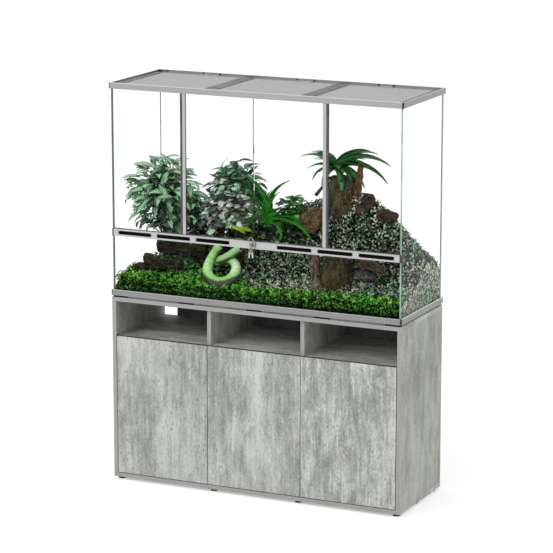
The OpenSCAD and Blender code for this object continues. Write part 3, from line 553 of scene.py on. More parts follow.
@dataclass(frozen=True)
class LeafSkin(Finish):
    """A leaf's face: deep and fresh tones by leaf, with rib, veins, patches or a pale rim, whose pale colour
    is partly the leaf's own marking and partly a painted highlight.
    """

    name: str
    deep: Colour
    fresh: Colour
    # partly the leaf's own marking colour, partly a painted highlight
    mark_and_highlight: Colour = (0.350, 0.480, 0.360)
    rib: float = 0.0
    vein: float = 0.0
    feather: float = 0.0
    rim: float = 0.0
    veins: float = 9.0
    roughness: float = 0.38
    specular: float = 0.10

    def dress(self, g: Paint) -> None:
        """Mixes the leaf's tone, which carries painted shade on inner and low leaves, warm and cool by place,
        with its markings and painted highlights.

        Args:
            g: the material's graph.
        """
        tone = g.node("ShaderNodeAttribute", attribute_name="tone").outputs["Fac"]
        flat = g.node("ShaderNodeUVMap", uv_map=LEAF_UV).outputs[0]
        face = g.group(g.groups.leaf, Vector=flat, Veins=self.veins)
        shade = g.ramp(g.noise(g.place(), 13.0, 3.0, 0.6), 0.42, 0.60)
        cool = tuple(part * share for part, share in zip(self.fresh, (0.58, 0.86, 0.74)))
        colour = g.mix(tone, self.deep, g.mix(shade, self.fresh, cool))
        mask = g.times(face["Rib"], self.rib)
        for label, share in (("Vein", self.vein), ("Feather", self.feather), ("Rim", self.rim)):
            mask = g.larger(mask, g.times(face[label], share))
        # the marks and their painted highlight fade on leaves of low tone
        mask = g.times(mask, g.plus(0.15, g.times(tone, 0.85)))
        g.set("Base Color", g.mix(mask, colour, self.mark_and_highlight))
        g.set("Roughness", g.plus(self.roughness, g.times(mask, 0.15)))
        g.set("Specular IOR Level", self.specular)
        g.set("Normal", g.bump(face["Vein"], 0.25, 0.0008))


@dataclass(frozen=True)
class SnakeSkin(Finish):
    """Small scales along the body, bright green above and dark below: the snake's own colours, with a painted
    highlight above and painted shade below.
    """

    name: str = "snake_skin"
    # the back's green lifted near white: partly its own colour, partly a painted highlight
    back: Colour = (0.780, 1.000, 0.620)
    flank: Colour = (0.340, 0.740, 0.210)
    # dark underside: partly the belly's own colour, partly painted shade
    belly_and_painted_shade: Colour = (0.045, 0.050, 0.025)
    between: Colour = (0.03, 0.09, 0.02)
    shaded_z: Span = (0.815, 0.875)

    def dress(self, g: Paint) -> None:
        """Runs the tones round the body, with a painted highlight on faces that look up and painted shade
        below and low on the coil, and the scales along it.

        Args:
            g: the material's graph.
        """
        place = g.place()
        flat = g.mapping(g.node("ShaderNodeUVMap", uv_map=LEAF_UV).outputs[0], (22.0, 130.0, 1.0))
        scales = g.node("ShaderNodeTexVoronoi", {"Vector": flat, "Scale": 1.0, "Randomness": 0.25},
                        voronoi_dimensions="2D").outputs[0]
        # painted shade low on the coil, and a painted highlight on faces that look up
        low = g.ramp(g.part(place, 2), *self.shaded_z)
        around = g.plus(g.plus(g.times(g.facing(2), 0.5), g.times(low, 0.45)), 0.06)
        patch = g.noise(place, 26.0, 4.0, 0.6)
        colour = g.mix(g.ramp(g.plus(around, g.times(patch, 0.25)), 0.35, 0.62), self.belly_and_painted_shade, self.flank)
        colour = g.mix(g.ramp(g.plus(around, g.times(patch, 0.2)), 0.62, 1.00), colour, self.back)
        g.set("Base Color", g.mix(g.times(g.ramp(scales, 0.35, 0.75), 0.5), colour, self.between))
        g.set("Roughness", g.plus(0.34, g.times(scales, 0.2)))
        g.set("Normal", g.bump(scales, 0.35, 0.0012))


class Wardrobe:
    """Makes each finish once and puts it on nodes and pieces."""

    def __init__(self) -> None:
        """Builds the shared groups."""
        self.groups = Groups()
        self.made: dict[str, bpy.types.Material] = {}

    def material(self, finish: Finish) -> bpy.types.Material:
        """Finds or makes the material of a finish.

        Args:
            finish: the finish, known by its name.

        Returns:
            The material.
        """
        if finish.name not in self.made:
            self.made[finish.name] = finish.make(self.groups)
        return self.made[finish.name]

    def dress(self, finish: Finish, *pieces: bpy.types.Object) -> None:
        """Puts a finish into every material slot of the pieces.

        Args:
            finish: the finish.
            pieces: the objects to dress.
        """
        material = self.material(finish)
        for piece in pieces:
            if not piece.material_slots:
                piece.data.materials.append(material)
            for slot in piece.material_slots:
                slot.material = material

    def dress_nodes(self, finish: Finish, names: str) -> None:
        """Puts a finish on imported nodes.

        Args:
            finish: the finish.
            names: the nodes' names in one line of text.
        """
        for name in names.split():
            self.dress(finish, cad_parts[name])
            LOG.info("node %s: %s", name, finish.name)


# ---------------------------------------------------------------- modelling helpers
def clear_selection() -> None:
    """Leaves edit mode and deselects every object."""
    if bpy.context.object and bpy.context.object.mode != "OBJECT":
        bpy.ops.object.mode_set(mode="OBJECT")
    bpy.ops.object.select_all(action="DESELECT")


def take(piece: bpy.types.Object) -> None:
    """Makes one object the only selected and active one.

    Args:
        piece: the object.
    """
    clear_selection()
    piece.select_set(True)
    bpy.context.view_layer.objects.active = piece


def edit_all() -> None:
    """Enters edit mode with all of the active mesh selected."""
    bpy.ops.object.mode_set(mode="EDIT")
    bpy.ops.mesh.select_all(action="SELECT")


def settle(piece: bpy.types.Object) -> None:
    """Applies a piece's place, so that its object sits at the origin."""
    take(piece)
    bpy.ops.object.transform_apply(location=True, rotation=True, scale=True)


def apply_modifiers(piece: bpy.types.Object) -> None:
    """Applies every modifier of a piece in order.

    Args:
        piece: the object.
    """
    take(piece)
    for modifier in list(piece.modifiers):
        bpy.ops.object.modifier_apply(modifier=modifier.name)


def mesh_of_curve(name: str, curve: bpy.types.Curve) -> bpy.types.Object:
    """Turns a curve into a smooth mesh with welded seams.

    Args:
        name: the object's name.
        curve: the curve with its bevel and capped ends.

    Returns:
        The mesh object.
    """
    piece = bpy.data.objects.new(name, curve)
    bpy.context.scene.collection.objects.link(piece)
    take(piece)
    bpy.ops.object.convert(target="MESH")
    piece = bpy.context.object
    edit_all()
    bpy.ops.mesh.remove_doubles(threshold=WELD)
    bpy.ops.mesh.normals_make_consistent(inside=False)
    bpy.ops.object.mode_set(mode="OBJECT")
    bpy.ops.object.shade_smooth()
    return piece


def finish_piece(piece: bpy.types.Object, name: str, body: str) -> bpy.types.Object:
    """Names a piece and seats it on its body.

    Args:
        piece: the finished object, at the origin.
        name: its name in the table.
        body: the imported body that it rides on.

    Returns:
        The piece.
    """
    piece.name = name
    piece.data.name = name
    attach(piece, body)
    LOG.info("piece %s: %d faces", name, len(piece.data.polygons))
    return piece


def select_where(mesh: bmesh.types.BMesh, test: Callable[[Vector], bool]) -> None:
    """Selects the vertices that pass a test, and what they bound.

    Args:
        mesh: the mesh in edit mode.
        test: says of a place whether it is in.
    """
    for vertex in mesh.verts:
        vertex.select = test(vertex.co)
    mesh.select_mode = {"VERT"}
    mesh.select_flush_mode()


def unit(rows: np.ndarray) -> np.ndarray:
    """Returns rows scaled to length one."""
    return rows / np.maximum(np.linalg.norm(rows, axis=-1, keepdims=True), 1e-9)


def around(middle: float, half: float) -> Span:
    """Returns the span that reaches half each way from a middle."""
    return (middle - half, middle + half)


# ---------------------------------------------------------------- room
@dataclass
class Studio:
    """The floor, the soft lights, the world and the camera."""

    camera_at: Point = (4.1325, -8.8340, 2.9684)
    camera_turn: Point = (math.pi / 2 - 0.2168, 0.0, 0.4374)
    lens: float = 170.9
    sensor: float = 36.0
    daylight: float = 0.80
    floor_size: float = 30.0
    floor_grey: float = 0.78
    floor_glow: float = 0.42
    lamp_target: Point = (0.0, 0.0, 0.8)

    def build(self) -> None:
        """Makes everything that isn't the object."""
        self._camera()
        self._world()
        self._floor()
        self._lamp("key_lamp", (-3.2, -5.2, 4.6), 3.4, 150.0)
        self._lamp("side_lamp", (5.0, -1.5, 3.2), 3.0, 30.0)

    def _camera(self) -> None:
        """Sets the camera at the photograph's place and angle."""
        data = bpy.data.cameras.new("photo_camera")
        data.lens = self.lens
        data.sensor_width = self.sensor
        camera = bpy.data.objects.new("photo_camera", data)
        camera.location = self.camera_at
        camera.rotation_euler = self.camera_turn
        bpy.context.scene.collection.objects.link(camera)
        bpy.context.scene.camera = camera

    def _world(self) -> None:
        """Makes a world that is white to the camera and to reflections, and plain daylight to all else."""
        world = bpy.data.worlds.new("studio_world")
        world.use_nodes = True
        bpy.context.scene.world = world
        g = Graph(world.node_tree)
        back = world.node_tree.nodes["Background"]
        g.feed(back.inputs["Color"], (1.0, 1.0, 1.0))
        g.feed(back.inputs["Strength"], g.plus(self.daylight, g.times(g.seen(), 1.0 - self.daylight)))
        bpy.context.scene.view_settings.view_transform = "Standard"

    def _floor(self) -> None:
        """Lays a plain pale floor that looks white where nothing shades it."""
        clear_selection()
        bpy.ops.mesh.primitive_plane_add(size=self.floor_size, location=(0.0, 0.0, 0.0))
        floor = bpy.context.object
        floor.name = "studio_floor"
        material = bpy.data.materials.new("studio_floor")
        material.use_nodes = True
        g = Graph(material.node_tree)
        inputs = material.node_tree.nodes["Principled BSDF"].inputs
        g.feed(inputs["Base Color"], (self.floor_grey, self.floor_grey, self.floor_grey))
        g.feed(inputs["Roughness"], 1.0)
        g.feed(inputs["Specular IOR Level"], 0.0)
        g.feed(inputs["Emission Color"], (1.0, 1.0, 1.0))
        g.feed(inputs["Emission Strength"], g.times(g.seen(), self.floor_glow))
        floor.data.materials.append(material)

    def _lamp(self, name: str, at: Point, size: float, power: float) -> None:
        """Adds a large soft lamp that looks at the object.

        Args:
            name: the lamp's name.
            at: its place.
            size: the length of its sides.
            power: its power in watts.
        """
        data = bpy.data.lights.new(name, "AREA")
        data.shape = "SQUARE"
        data.size = size
        data.energy = power
        lamp = bpy.data.objects.new(name, data)
        lamp.location = at
        lamp.rotation_euler = (Vector(self.lamp_target) - Vector(at)).to_track_quat("-Z", "Y").to_euler()
        lamp.visible_camera = False
        lamp.visible_glossy = False
        lamp.visible_transmission = False
        bpy.context.scene.collection.objects.link(lamp)


# ---------------------------------------------------------------- cabinet and tank
@dataclass
class Cabinet:
    """The board cabinet under the tank, with its doors and fittings."""

    front: float = -0.203
    inner_front: float = -0.1845
    band: float = 0.0006
    # painted shade: the side boards' print is darker than the doors', as the right side faces away from the
    # light
    side_light_painted_shade: Colour = (0.530, 0.543, 0.512)
    doors: tuple[tuple[str, Point, Colour], ...] = (
        ("left", (0.4, 0.0, 0.2), (0.610, 0.625, 0.590)),
        ("centre", (1.3, 0.3, 1.1), (0.640, 0.655, 0.615)),
        ("right", (2.9, 0.7, 2.4), (0.720, 0.735, 0.695)))

    def dress(self, wardrobe: Wardrobe) -> None:
        """Gives the boards their concrete print and the fittings their metal and plastic.

        Args:
            wardrobe: the finishes.
        """
        edge, inner = self.front + self.band, self.inner_front + self.band
        for finish, names in (
                (ConcreteBoard(name="concrete_upright", light=self.side_light_painted_shade, band_front=edge),
                 "cabinet_side_left cabinet_side_right"),
                (ConcreteBoard(name="concrete_level", run=Run.ALONG_X, band_front=edge),
                 "cabinet_top_panel cabinet_bottom_panel"),
                (ConcreteBoard(name="concrete_inner", band_front=inner), "cabinet_dividers"),
                (ConcreteBoard(name="concrete_shelf", run=Run.ALONG_X, band_front=inner), "niche_shelves"),
                # rim=0.25 paints shade three quarters of the way onto the doors' edges, so the gaps round
                # them read dark
                *((ConcreteBoard(name=f"concrete_door_{side}", light=light, shift=shift, rim=0.25),
                   f"cabinet_door_{side}") for side, shift, light in self.doors),
                (Moulded("dark_back_board", (0.14, 0.14, 0.14), 0.6, 0.2), "cabinet_back_panel"),
                (DrawnMetal("nickel_hinge", (0.62, 0.62, 0.60), 0.25),
                 "hinge_cups_left hinge_cups_centre hinge_cups_right hinge_arms"),
                (Moulded("grey_latch", (0.19, 0.19, 0.20)),
                 "push_latch_bodies latch_plunger_left latch_plunger_centre latch_plunger_right"),
                (Moulded("black_foot", (0.003, 0.003, 0.003), 0.85, 0.05), "cabinet_feet")):
            wardrobe.dress_nodes(finish, names)


@dataclass
class Tank:
    """The aluminium frame, the panes, the vent rail with its lock, and the lids."""

    front_edge: Colour = (0.06, 0.10, 0.09)
    side_edge: Colour = (0.12, 0.19, 0.16)

    def dress(self, wardrobe: Wardrobe) -> None:
        """Gives each node of the tank its finish.

        Args:
            wardrobe: the finishes.
        """
        for finish, names in (
                # top above one paints a highlight on the rails' faces that look up
                (DrawnMetal("satin_rail", (0.42, 0.42, 0.42), top=1.5), "top_rail_front top_rail_back"),
                (DrawnMetal("satin_vent_rail", (0.52, 0.52, 0.52), top=1.4), "vent_rail"),
                # the base rail's darker colour paints shade on its front, and top=2.5 a strong highlight on
                # its top
                (DrawnMetal("satin_base_rail_painted_light", (0.29, 0.29, 0.29), top=2.5), "base_rails"),
                # the side rails are darker than the front rail: painted shade on the sides away from the
                # light
                (DrawnMetal("satin_rail_side_painted_shade", (0.34, 0.34, 0.34), run=Run.ALONG_Y, top=1.4),
                 "top_rails_side"),
                (DrawnMetal("satin_stile", (0.52, 0.52, 0.52), run=Run.ALONG_X),
                 "door_stile_left door_stile_right"),
                (DrawnMetal("satin_shutter", (0.60, 0.60, 0.60)),
                 "port_shutter_left port_shutter_centre port_shutter_right"),
                (Moulded("black_corner", (0.03, 0.03, 0.03), 0.4), "corner_caps rail_end_caps door_pull"),
                (Moulded("black_grille", (0.006, 0.006, 0.006), 0.8, 0.1), "vent_grilles"),
                (Moulded("pad_rubber", (0.016, 0.016, 0.016), 0.8, 0.2), "tank_pads"),
                (Moulded("seal_rubber", (0.10, 0.10, 0.10), 0.7, 0.2), "door_gaskets"),
                (PaneGlass("glass_front", 1, edge=self.front_edge, ior=1.15),
                 "glass_back glass_front_lower glass_front_fixed glass_door_left glass_door_right"),
                (PaneGlass("glass_side", 0, edge=self.side_edge, ior=1.08), "glass_sides"),
                (PaneGlass("glass_level", 2), "floor_glass"),
                (DrawnMetal("lock_chrome", (0.26, 0.26, 0.25), 0.30), "lock_escutcheon"),
                (DrawnMetal("lock_core", (0.14, 0.14, 0.14), 0.35), "lock_cylinder"),
                (DrawnMetal("key_steel", (0.62, 0.57, 0.47), 0.30), "key_ring keys"),
                (Moulded("lid_strip_paint", (0.18, 0.18, 0.18), 0.6, 0.25),
                 "lid_strips_left lid_strips_centre lid_strips_right"),
                (Gauze(), "lid_mesh_left lid_mesh_centre lid_mesh_right")):
            wardrobe.dress_nodes(finish, names)


@dataclass(frozen=True)
class Block:
    """A small block with softened edges between its lowest and highest x, y and z."""

    x: Span
    y: Span
    z: Span
    soft: float = 0.0006

    def build(self) -> bpy.types.Object:
        """Models the block.

        Returns:
            Its object.
        """
        clear_selection()
        bpy.ops.mesh.primitive_cube_add(size=1.0)
        block = bpy.context.object
        block.scale = [high - low for low, high in (self.x, self.y, self.z)]
        block.location = [(low + high) / 2 for low, high in (self.x, self.y, self.z)]
        settle(block)
        thin = min(high - low for low, high in (self.x, self.y, self.z))
        edit_all()
        bpy.ops.mesh.bevel(offset=min(self.soft, 0.3 * thin), segments=2, affect="EDGES")
        bpy.ops.object.mode_set(mode="OBJECT")
        bpy.ops.object.shade_smooth_by_angle(angle=math.radians(40))
        return block


@dataclass
class Trim:
    """Thin trim: slot screens and collars, grey strips of painted light under the base frame, pane edges,
    black blocks of painted shade by the lock and the top's fittings.
    """

    wardrobe: Wardrobe
    slot_x: tuple[float, ...] = (0.168, 0.333, 0.498)
    slot_half: float = 0.0698
    slot_z: Span = (0.9744, 0.9856)
    screen_y: Span = (-0.1975, -0.1963)
    collar_y: Span = (-0.2034, -0.2026)
    collar_bars: Span = (0.9729, 0.9857)
    collar_bar: float = 0.0014
    collar_ends: Span = (0.9735, 0.9865)
    # grey strips in the gap under the base frame: painted light, so that the gap between the pads reads lit
    gap_strip_half: Span = (0.5955, 0.1985)
    gap_strip_long: Span = (0.5950, 0.1975)
    gap_strip_thin: float = 0.0005
    gap_strip_z: Span = (0.7262, 0.7338)
    pane_edge: Span = (0.5897, 0.5953)
    edge_y: Span = (-0.1985, -0.1981)
    edge_z: tuple[Span, ...] = ((0.7565, 0.9655), (0.9945, 1.5315))
    # the same green glass edge: darker on the left as painted shade, lighter on the right as painted light
    edge_left: Colour = (0.10, 0.15, 0.11)
    edge_right: Colour = (0.34, 0.52, 0.42)
    # black blocks above and below the vent rail by the lock: painted shade where the rail and the doors fall
    # dark
    lock_shade_blocks: tuple[Block, ...] = (
        Block((-0.030, -0.018), (-0.2020, -0.1985), (0.9940, 1.0040)),
        Block((0.009, 0.034), (-0.2020, -0.1985), (0.9940, 1.0010)),
        Block((-0.056, -0.025), (-0.2025, -0.1985), (0.9560, 0.9658)))
    seal: Block = Block((-0.0015, 0.0008), (-0.1980, -0.1920), (0.9985, 1.5300))
    dot_x: tuple[float, ...] = (-0.560, -0.403, -0.331, -0.004, 0.069, 0.333, 0.394)
    dot_half: float = 0.003
    dot_yz: tuple[Span, Span] = ((0.1955, 0.1982), (1.5475, 1.5535))
    bracket_x: tuple[Span, ...] = ((-0.233, -0.194), (0.163, 0.204), (0.561, 0.584))
    bracket_yz: tuple[Span, Span] = ((0.1900, 0.1978), (1.5480, 1.5530))
    corner_x: tuple[Span, Span] = ((-0.5965, -0.5870), (0.5850, 0.5965))
    corner_yz: tuple[Span, Span] = ((0.1880, 0.1982), (1.5460, 1.5538))
    joint_x: float = 0.1985
    pin_half: float = 0.0022
    pin_yz: tuple[Span, Span] = ((-0.2005, -0.1975), (1.5500, 1.5538))

    def _set(self, name: str, finish: Finish, blocks: Iterable[Block], body: str = "root") -> None:
        """Models blocks and joins them to one dressed piece.

        Args:
            name: the piece's name.
            finish: its finish.
            blocks: its blocks.
            body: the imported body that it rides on.
        """
        made = [block.build() for block in blocks]
        clear_selection()
        for piece in made:
            piece.select_set(True)
        bpy.context.view_layer.objects.active = made[0]
        if len(made) > 1:
            bpy.ops.object.join()
        self.wardrobe.dress(finish, made[0])
        finish_piece(made[0], name, body)

    def build(self) -> None:
        """Makes every set of small fittings."""
        # the black finish serves the real fittings and the blocks of painted shade by the lock
        black = Moulded("black_fitting_and_painted_shade", (0.014, 0.014, 0.014), 0.5, 0.3)
        # the grey finish serves the rear brackets and the strips of painted light under the base frame
        grey = Moulded("grey_bracket_and_gap_light", (0.24, 0.24, 0.24), 0.6, 0.3)
        self._vents(black)
        self._gap_strips(grey)
        self._panes()
        # black blocks of painted shade by the lock
        self._set("door_catches", black, self.lock_shade_blocks)
        self._set("door_edge_seal", Moulded("edge_seal", (0.035, 0.040, 0.038), 0.6, 0.2),
                  [self.seal], "glass_door_left")
        self._top(black, grey)

    def _vents(self, black: Finish) -> None:
        """Makes the screens in the rail's slots and the collars round them.

        Args:
            black: the collars' finish.
        """
        slots = [side * x for x in self.slot_x for side in (-1, 1)]
        self._set("vent_screens", Moulded("vent_screen", (0.006, 0.006, 0.006), 0.8, 0.1),
                  [Block(around(x, self.slot_half), self.screen_y, self.slot_z) for x in slots])
        bars = [Block(around(x, self.slot_half), self.collar_y, (z, z + self.collar_bar))
                for x in slots for z in self.collar_bars]
        ends = [Block(around(x + side * self.slot_half, self.collar_bar / 2), self.collar_y, self.collar_ends)
                for x in slots for side in (-1, 1)]
        self._set("vent_collars", black, bars + ends)

    def _gap_strips(self, grey: Finish) -> None:
        """Makes grey strips in the gap under the base frame between the pads: painted light, so that the gap
        reads lit.

        Args:
            grey: their finish.
        """
        half_x, half_y = self.gap_strip_half
        long_x, long_y = self.gap_strip_long
        self._set("base_gap_light_strips", grey,
                  [Block((-long_x, long_x), around(side * half_y, self.gap_strip_thin), self.gap_strip_z)
                   for side in (-1, 1)]
                  + [Block(around(side * half_x, self.gap_strip_thin), (-long_y, long_y), self.gap_strip_z)
                     for side in (-1, 1)])

    def _panes(self) -> None:
        """Makes the polished front edges of the side panes, in the glass's green, with painted shade on the
        left edge and painted light on the right.
        """
        for name, side, colour in (("left", -1, self.edge_left), ("right", 1, self.edge_right)):
            low, high = sorted(side * value for value in self.pane_edge)
            self._set(f"pane_edges_{name}", Moulded(f"polished_edge_{name}", colour, 0.3),
                      [Block((low, high), self.edge_y, span) for span in self.edge_z])

    def _top(self, black: Finish, grey: Finish) -> None:
        """Makes the pins, brackets and corner pieces of the top frame.

        Args:
            black: the finish of what is black.
            grey: the brackets' finish.
        """
        left, right = self.corner_x
        self._set("rear_fittings", black,
                  [Block(around(x, self.dot_half), *self.dot_yz) for x in self.dot_x]
                  + [Block(left, *self.corner_yz)])
        self._set("rear_brackets", grey,
                  [Block(span, *self.bracket_yz) for span in self.bracket_x]
                  + [Block(right, *self.corner_yz)])
        self._set("front_pins", black,
                  [Block(around(side * self.joint_x, self.pin_half), *self.pin_yz) for side in (-1, 1)])


# ---------------------------------------------------------------- planting
@dataclass(frozen=True)
class Terrain:
    """The soil's surface, by the same formula as the part's source.

    Each rise has its height, then its place and its spread as shares of the soil's half sizes.
    """

    floor: float = 0.746
    half_x: float = 0.588
    half_y: float = 0.19125
    depth: float = 0.018
    climb_right: float = 0.026
    climb_back: float = 0.045
    rises: tuple[tuple[float, Span, Span], ...] = (
        (0.320, (0.51, 0.366), (0.425, 0.601)),
        (0.110, (-0.493, 0.105), (0.221, 0.575)),
        (0.140, (0.02, 0.55), (0.28, 0.45)))
    step: float = 0.004

    def height(self, x: np.ndarray, y: np.ndarray) -> np.ndarray:
        """Works out the soil's height at places.

        Args:
            x: the places' x in metres.
            y: their y.

        Returns:
            The heights in metres.
        """
        u, v = np.asarray(x) / self.half_x, np.asarray(y) / self.half_y
        z = self.floor + self.depth + self.climb_right * (u + 1) / 2 + self.climb_back * (v + 1) / 2
        for rise, at, spread in self.rises:
            z = z + rise * np.exp(-(((u - at[0]) / spread[0]) ** 2) - (((v - at[1]) / spread[1]) ** 2))
        return z

    def normal(self, x: np.ndarray, y: np.ndarray) -> np.ndarray:
        """Works out the soil's upward normals at places.

        Args:
            x: the places' x in metres.
            y: their y.

        Returns:
            The normals, of length one.
        """
        slope_x = (self.height(x + self.step, y) - self.height(x - self.step, y)) / (2 * self.step)
        slope_y = (self.height(x, y + self.step) - self.height(x, y - self.step)) / (2 * self.step)
        return unit(np.stack([-slope_x, -slope_y, np.ones_like(slope_x)], axis=-1))


BROAD_WIDTHS = (0.10, 0.55, 0.86, 1.00, 0.96, 0.82, 0.60, 0.34, 0.04)
SWORD_WIDTHS = (0.55, 0.80, 0.95, 1.00, 1.00, 0.96, 0.88, 0.76, 0.60, 0.40, 0.04)


class LeafForm(Enum):
    """A leaf's half widths from foot to tip, its columns, bend in degrees and fold."""

    BROAD = (BROAD_WIDTHS, 4, 55.0, 0.10)
    BROAD_LIMP = (BROAD_WIDTHS, 4, 105.0, 0.16)
    ROUND = ((0.45, 0.86, 1.00, 0.96, 0.74, 0.20), 4, 30.0, 0.08)
    IVY = ((0.50, 1.00, 0.80, 0.10), 2, 25.0, 0.20)
    LANCE = ((0.20, 0.70, 1.00, 0.94, 0.74, 0.46, 0.05), 2, 70.0, 0.15)
    SWORD = (SWORD_WIDTHS, 2, 75.0, 0.30)

    @property
    def bend(self) -> float:
        """Returns the angle that the leaf bends through, in radians."""
        return math.radians(self.value[2])


@dataclass(frozen=True)
class Cast:
    """A modelled leaf as arrays, its foot at the origin, its length one along Y."""

    points: np.ndarray
    faces: np.ndarray
    uvs: np.ndarray


class LeafMaker:
    """Models each leaf form once."""

    thickness: float = 0.012
    aside: float = 10.0
    small_width: float = 0.72
    small_thick: float = 0.16
    small_droop: float = 0.12

    def __init__(self) -> None:
        """Starts with no forms made."""
        self.casts: dict[str, Cast] = {}

    def cast(self, form: LeafForm) -> Cast:
        """Finds or models the cast of a form.

        Args:
            form: the leaf form.

        Returns:
            Its cast.
        """
        if form.name not in self.casts:
            self.casts[form.name] = self._model(form)
        return self.casts[form.name]

    def _model(self, form: LeafForm) -> Cast:
        """Models a leaf from a grid: rows are widened, bent along an arc and folded at the rib.

        Finished rows wait well aside, so that only rows that are still to come lie in the grid's place.

        Args:
            form: the leaf's widths, columns, bend and fold.

        Returns:
            The cast.
        """
        widths, columns, _, fold = form.value
        rows = len(widths) - 1
        clear_selection()
        bpy.ops.mesh.primitive_grid_add(x_subdivisions=columns, y_subdivisions=rows, size=1.0)
        leaf = bpy.context.object
        bpy.ops.object.mode_set(mode="EDIT")
        mesh = bmesh.from_edit_mesh(leaf.data)
        for row, width in enumerate(widths):
            start = row / rows - 0.5
            turn = form.bend * row / rows
            reach = math.sin(turn) / form.bend
            drop = -(1 - math.cos(turn)) / form.bend
            select_where(mesh, lambda co, s=start: abs(co.y - s) < 1e-4)
            bpy.ops.transform.resize(value=(width, 1.0, 1.0))
            select_where(mesh, lambda co, s=start: abs(co.y - s) < 1e-4 and abs(co.x) > 1e-4)
            bpy.ops.transform.translate(value=(0.0, 0.0, fold * width * 0.25))
            select_where(mesh, lambda co, s=start: abs(co.y - s) < 1e-4)
            bpy.ops.transform.translate(value=(0.0, self.aside + reach - start, drop))
        bpy.ops.mesh.select_all(action="SELECT")
        bpy.ops.transform.translate(value=(0.0, -self.aside, 0.0))
        bpy.ops.object.mode_set(mode="OBJECT")
        solid = leaf.modifiers.new("thickness", "SOLIDIFY")
        solid.thickness = self.thickness
        solid.offset = 0.0
        return self.read(leaf)

    @staticmethod
    def read(piece: bpy.types.Object) -> Cast:
        """Applies a model's modifiers, reads it as triangles and removes it.

        Args:
            piece: the modelled leaf.

        Returns:
            Its cast.
        """
        apply_modifiers(piece)
        mesh = piece.data
        mesh.calc_loop_triangles()
        points = np.array([v.co for v in mesh.vertices], float)
        faces = np.array([t.vertices for t in mesh.loop_triangles], int)
        layer = mesh.uv_layers.active.data
        uvs = np.array([[layer[i].uv for i in t.loops] for t in mesh.loop_triangles], float)
        bpy.data.objects.remove(piece)
        return Cast(points, faces, uvs)

    def small(self) -> Cast:
        """Finds or models the tiny closed leaf of the carpets.

        Returns:
            Its cast.
        """
        if "small" not in self.casts:
            clear_selection()
            bpy.ops.mesh.primitive_uv_sphere_add(segments=4, ring_count=2, radius=0.5)
            leaf = bpy.context.object
            edit_all()
            mesh = bmesh.from_edit_mesh(leaf.data)
            bpy.ops.transform.resize(value=(self.small_width, 1.0, self.small_thick))
            bpy.ops.transform.translate(value=(0.0, 0.5, 0.0))
            select_where(mesh, lambda co: co.y > 0.9)
            bpy.ops.transform.translate(value=(0.0, 0.0, -self.small_droop))
            bpy.ops.object.mode_set(mode="OBJECT")
            cast = self.read(leaf)
            across = np.array([self.small_width, 1.0])
            flat = cast.points[cast.faces][:, :, :2] / across + np.array([0.5, 0.0])
            self.casts["small"] = Cast(cast.points, cast.faces, flat)
        return self.casts["small"]


@dataclass
class Batch:
    """Leaves of one cast: their feet, directions, upper sides, sizes (width, length, height) and tones."""

    cast: Cast
    feet: np.ndarray
    ahead: np.ndarray
    upper: np.ndarray
    sizes: np.ndarray
    tones: np.ndarray


class Thicket:
    """Gathers leaves into one mesh that keeps clear of the panes and the rail."""

    side: float = 0.5893
    front: float = -0.1918
    back: float = 0.1918
    rail_front: float = -0.1850
    rail_z: float = 0.9640

    def __init__(self, name: str, batches: Iterable[Batch]) -> None:
        """Gathers batches of leaves.

        Args:
            name: the mesh's name.
            batches: the leaves.
        """
        self.name = name
        self.points: list[np.ndarray] = []
        self.faces: list[np.ndarray] = []
        self.uvs: list[np.ndarray] = []
        self.tones: list[np.ndarray] = []
        self.count = 0
        for batch in batches:
            self._add(batch)

    def _add(self, batch: Batch) -> None:
        """Adds a batch of leaves.

        Args:
            batch: the leaves.
        """
        ahead = unit(batch.ahead)
        upper = unit(batch.upper - np.sum(batch.upper * ahead, axis=1, keepdims=True) * ahead)
        across = np.cross(ahead, upper)
        turn = np.stack([across, ahead, upper], axis=2)
        local = batch.cast.points[None] * batch.sizes[:, None, :]
        points = np.einsum("kij,knj->kni", turn, local) + batch.feet[:, None, :]
        leaves, each = points.shape[:2]
        faces = batch.cast.faces[None] + (np.arange(leaves) * each)[:, None, None]
        self.points.append(points.reshape(-1, 3))
        self.faces.append(faces.reshape(-1, 3) + self.count)
        self.uvs.append(np.broadcast_to(batch.cast.uvs[None], (leaves, *batch.cast.uvs.shape)).reshape(-1, 2))
        self.tones.append(np.repeat(batch.tones, each))
        self.count += leaves * each

    def build(self) -> bpy.types.Object:
        """Makes the mesh, pressed back from the panes.

        Returns:
            Its object.
        """
        points = np.vstack(self.points)
        points[:, 0] = np.clip(points[:, 0], -self.side, self.side)
        front = np.where(points[:, 2] > self.rail_z, self.rail_front, self.front)
        points[:, 1] = np.clip(points[:, 1], front, self.back)
        mesh = bpy.data.meshes.new(self.name)
        faces = np.vstack(self.faces)
        mesh.from_pydata(points, [], faces)
        layer = mesh.uv_layers.new(name=LEAF_UV)
        layer.data.foreach_set("uv", np.vstack(self.uvs).astype(np.float32).ravel())
        tones = mesh.attributes.new("tone", "FLOAT", "POINT")
        tones.data.foreach_set("value", np.concatenate(self.tones).astype(np.float32))
        mesh.polygons.foreach_set("use_smooth", np.ones(len(faces), bool))
        mesh.update()
        piece = bpy.data.objects.new(self.name, mesh)
        bpy.context.scene.collection.objects.link(piece)
        return piece


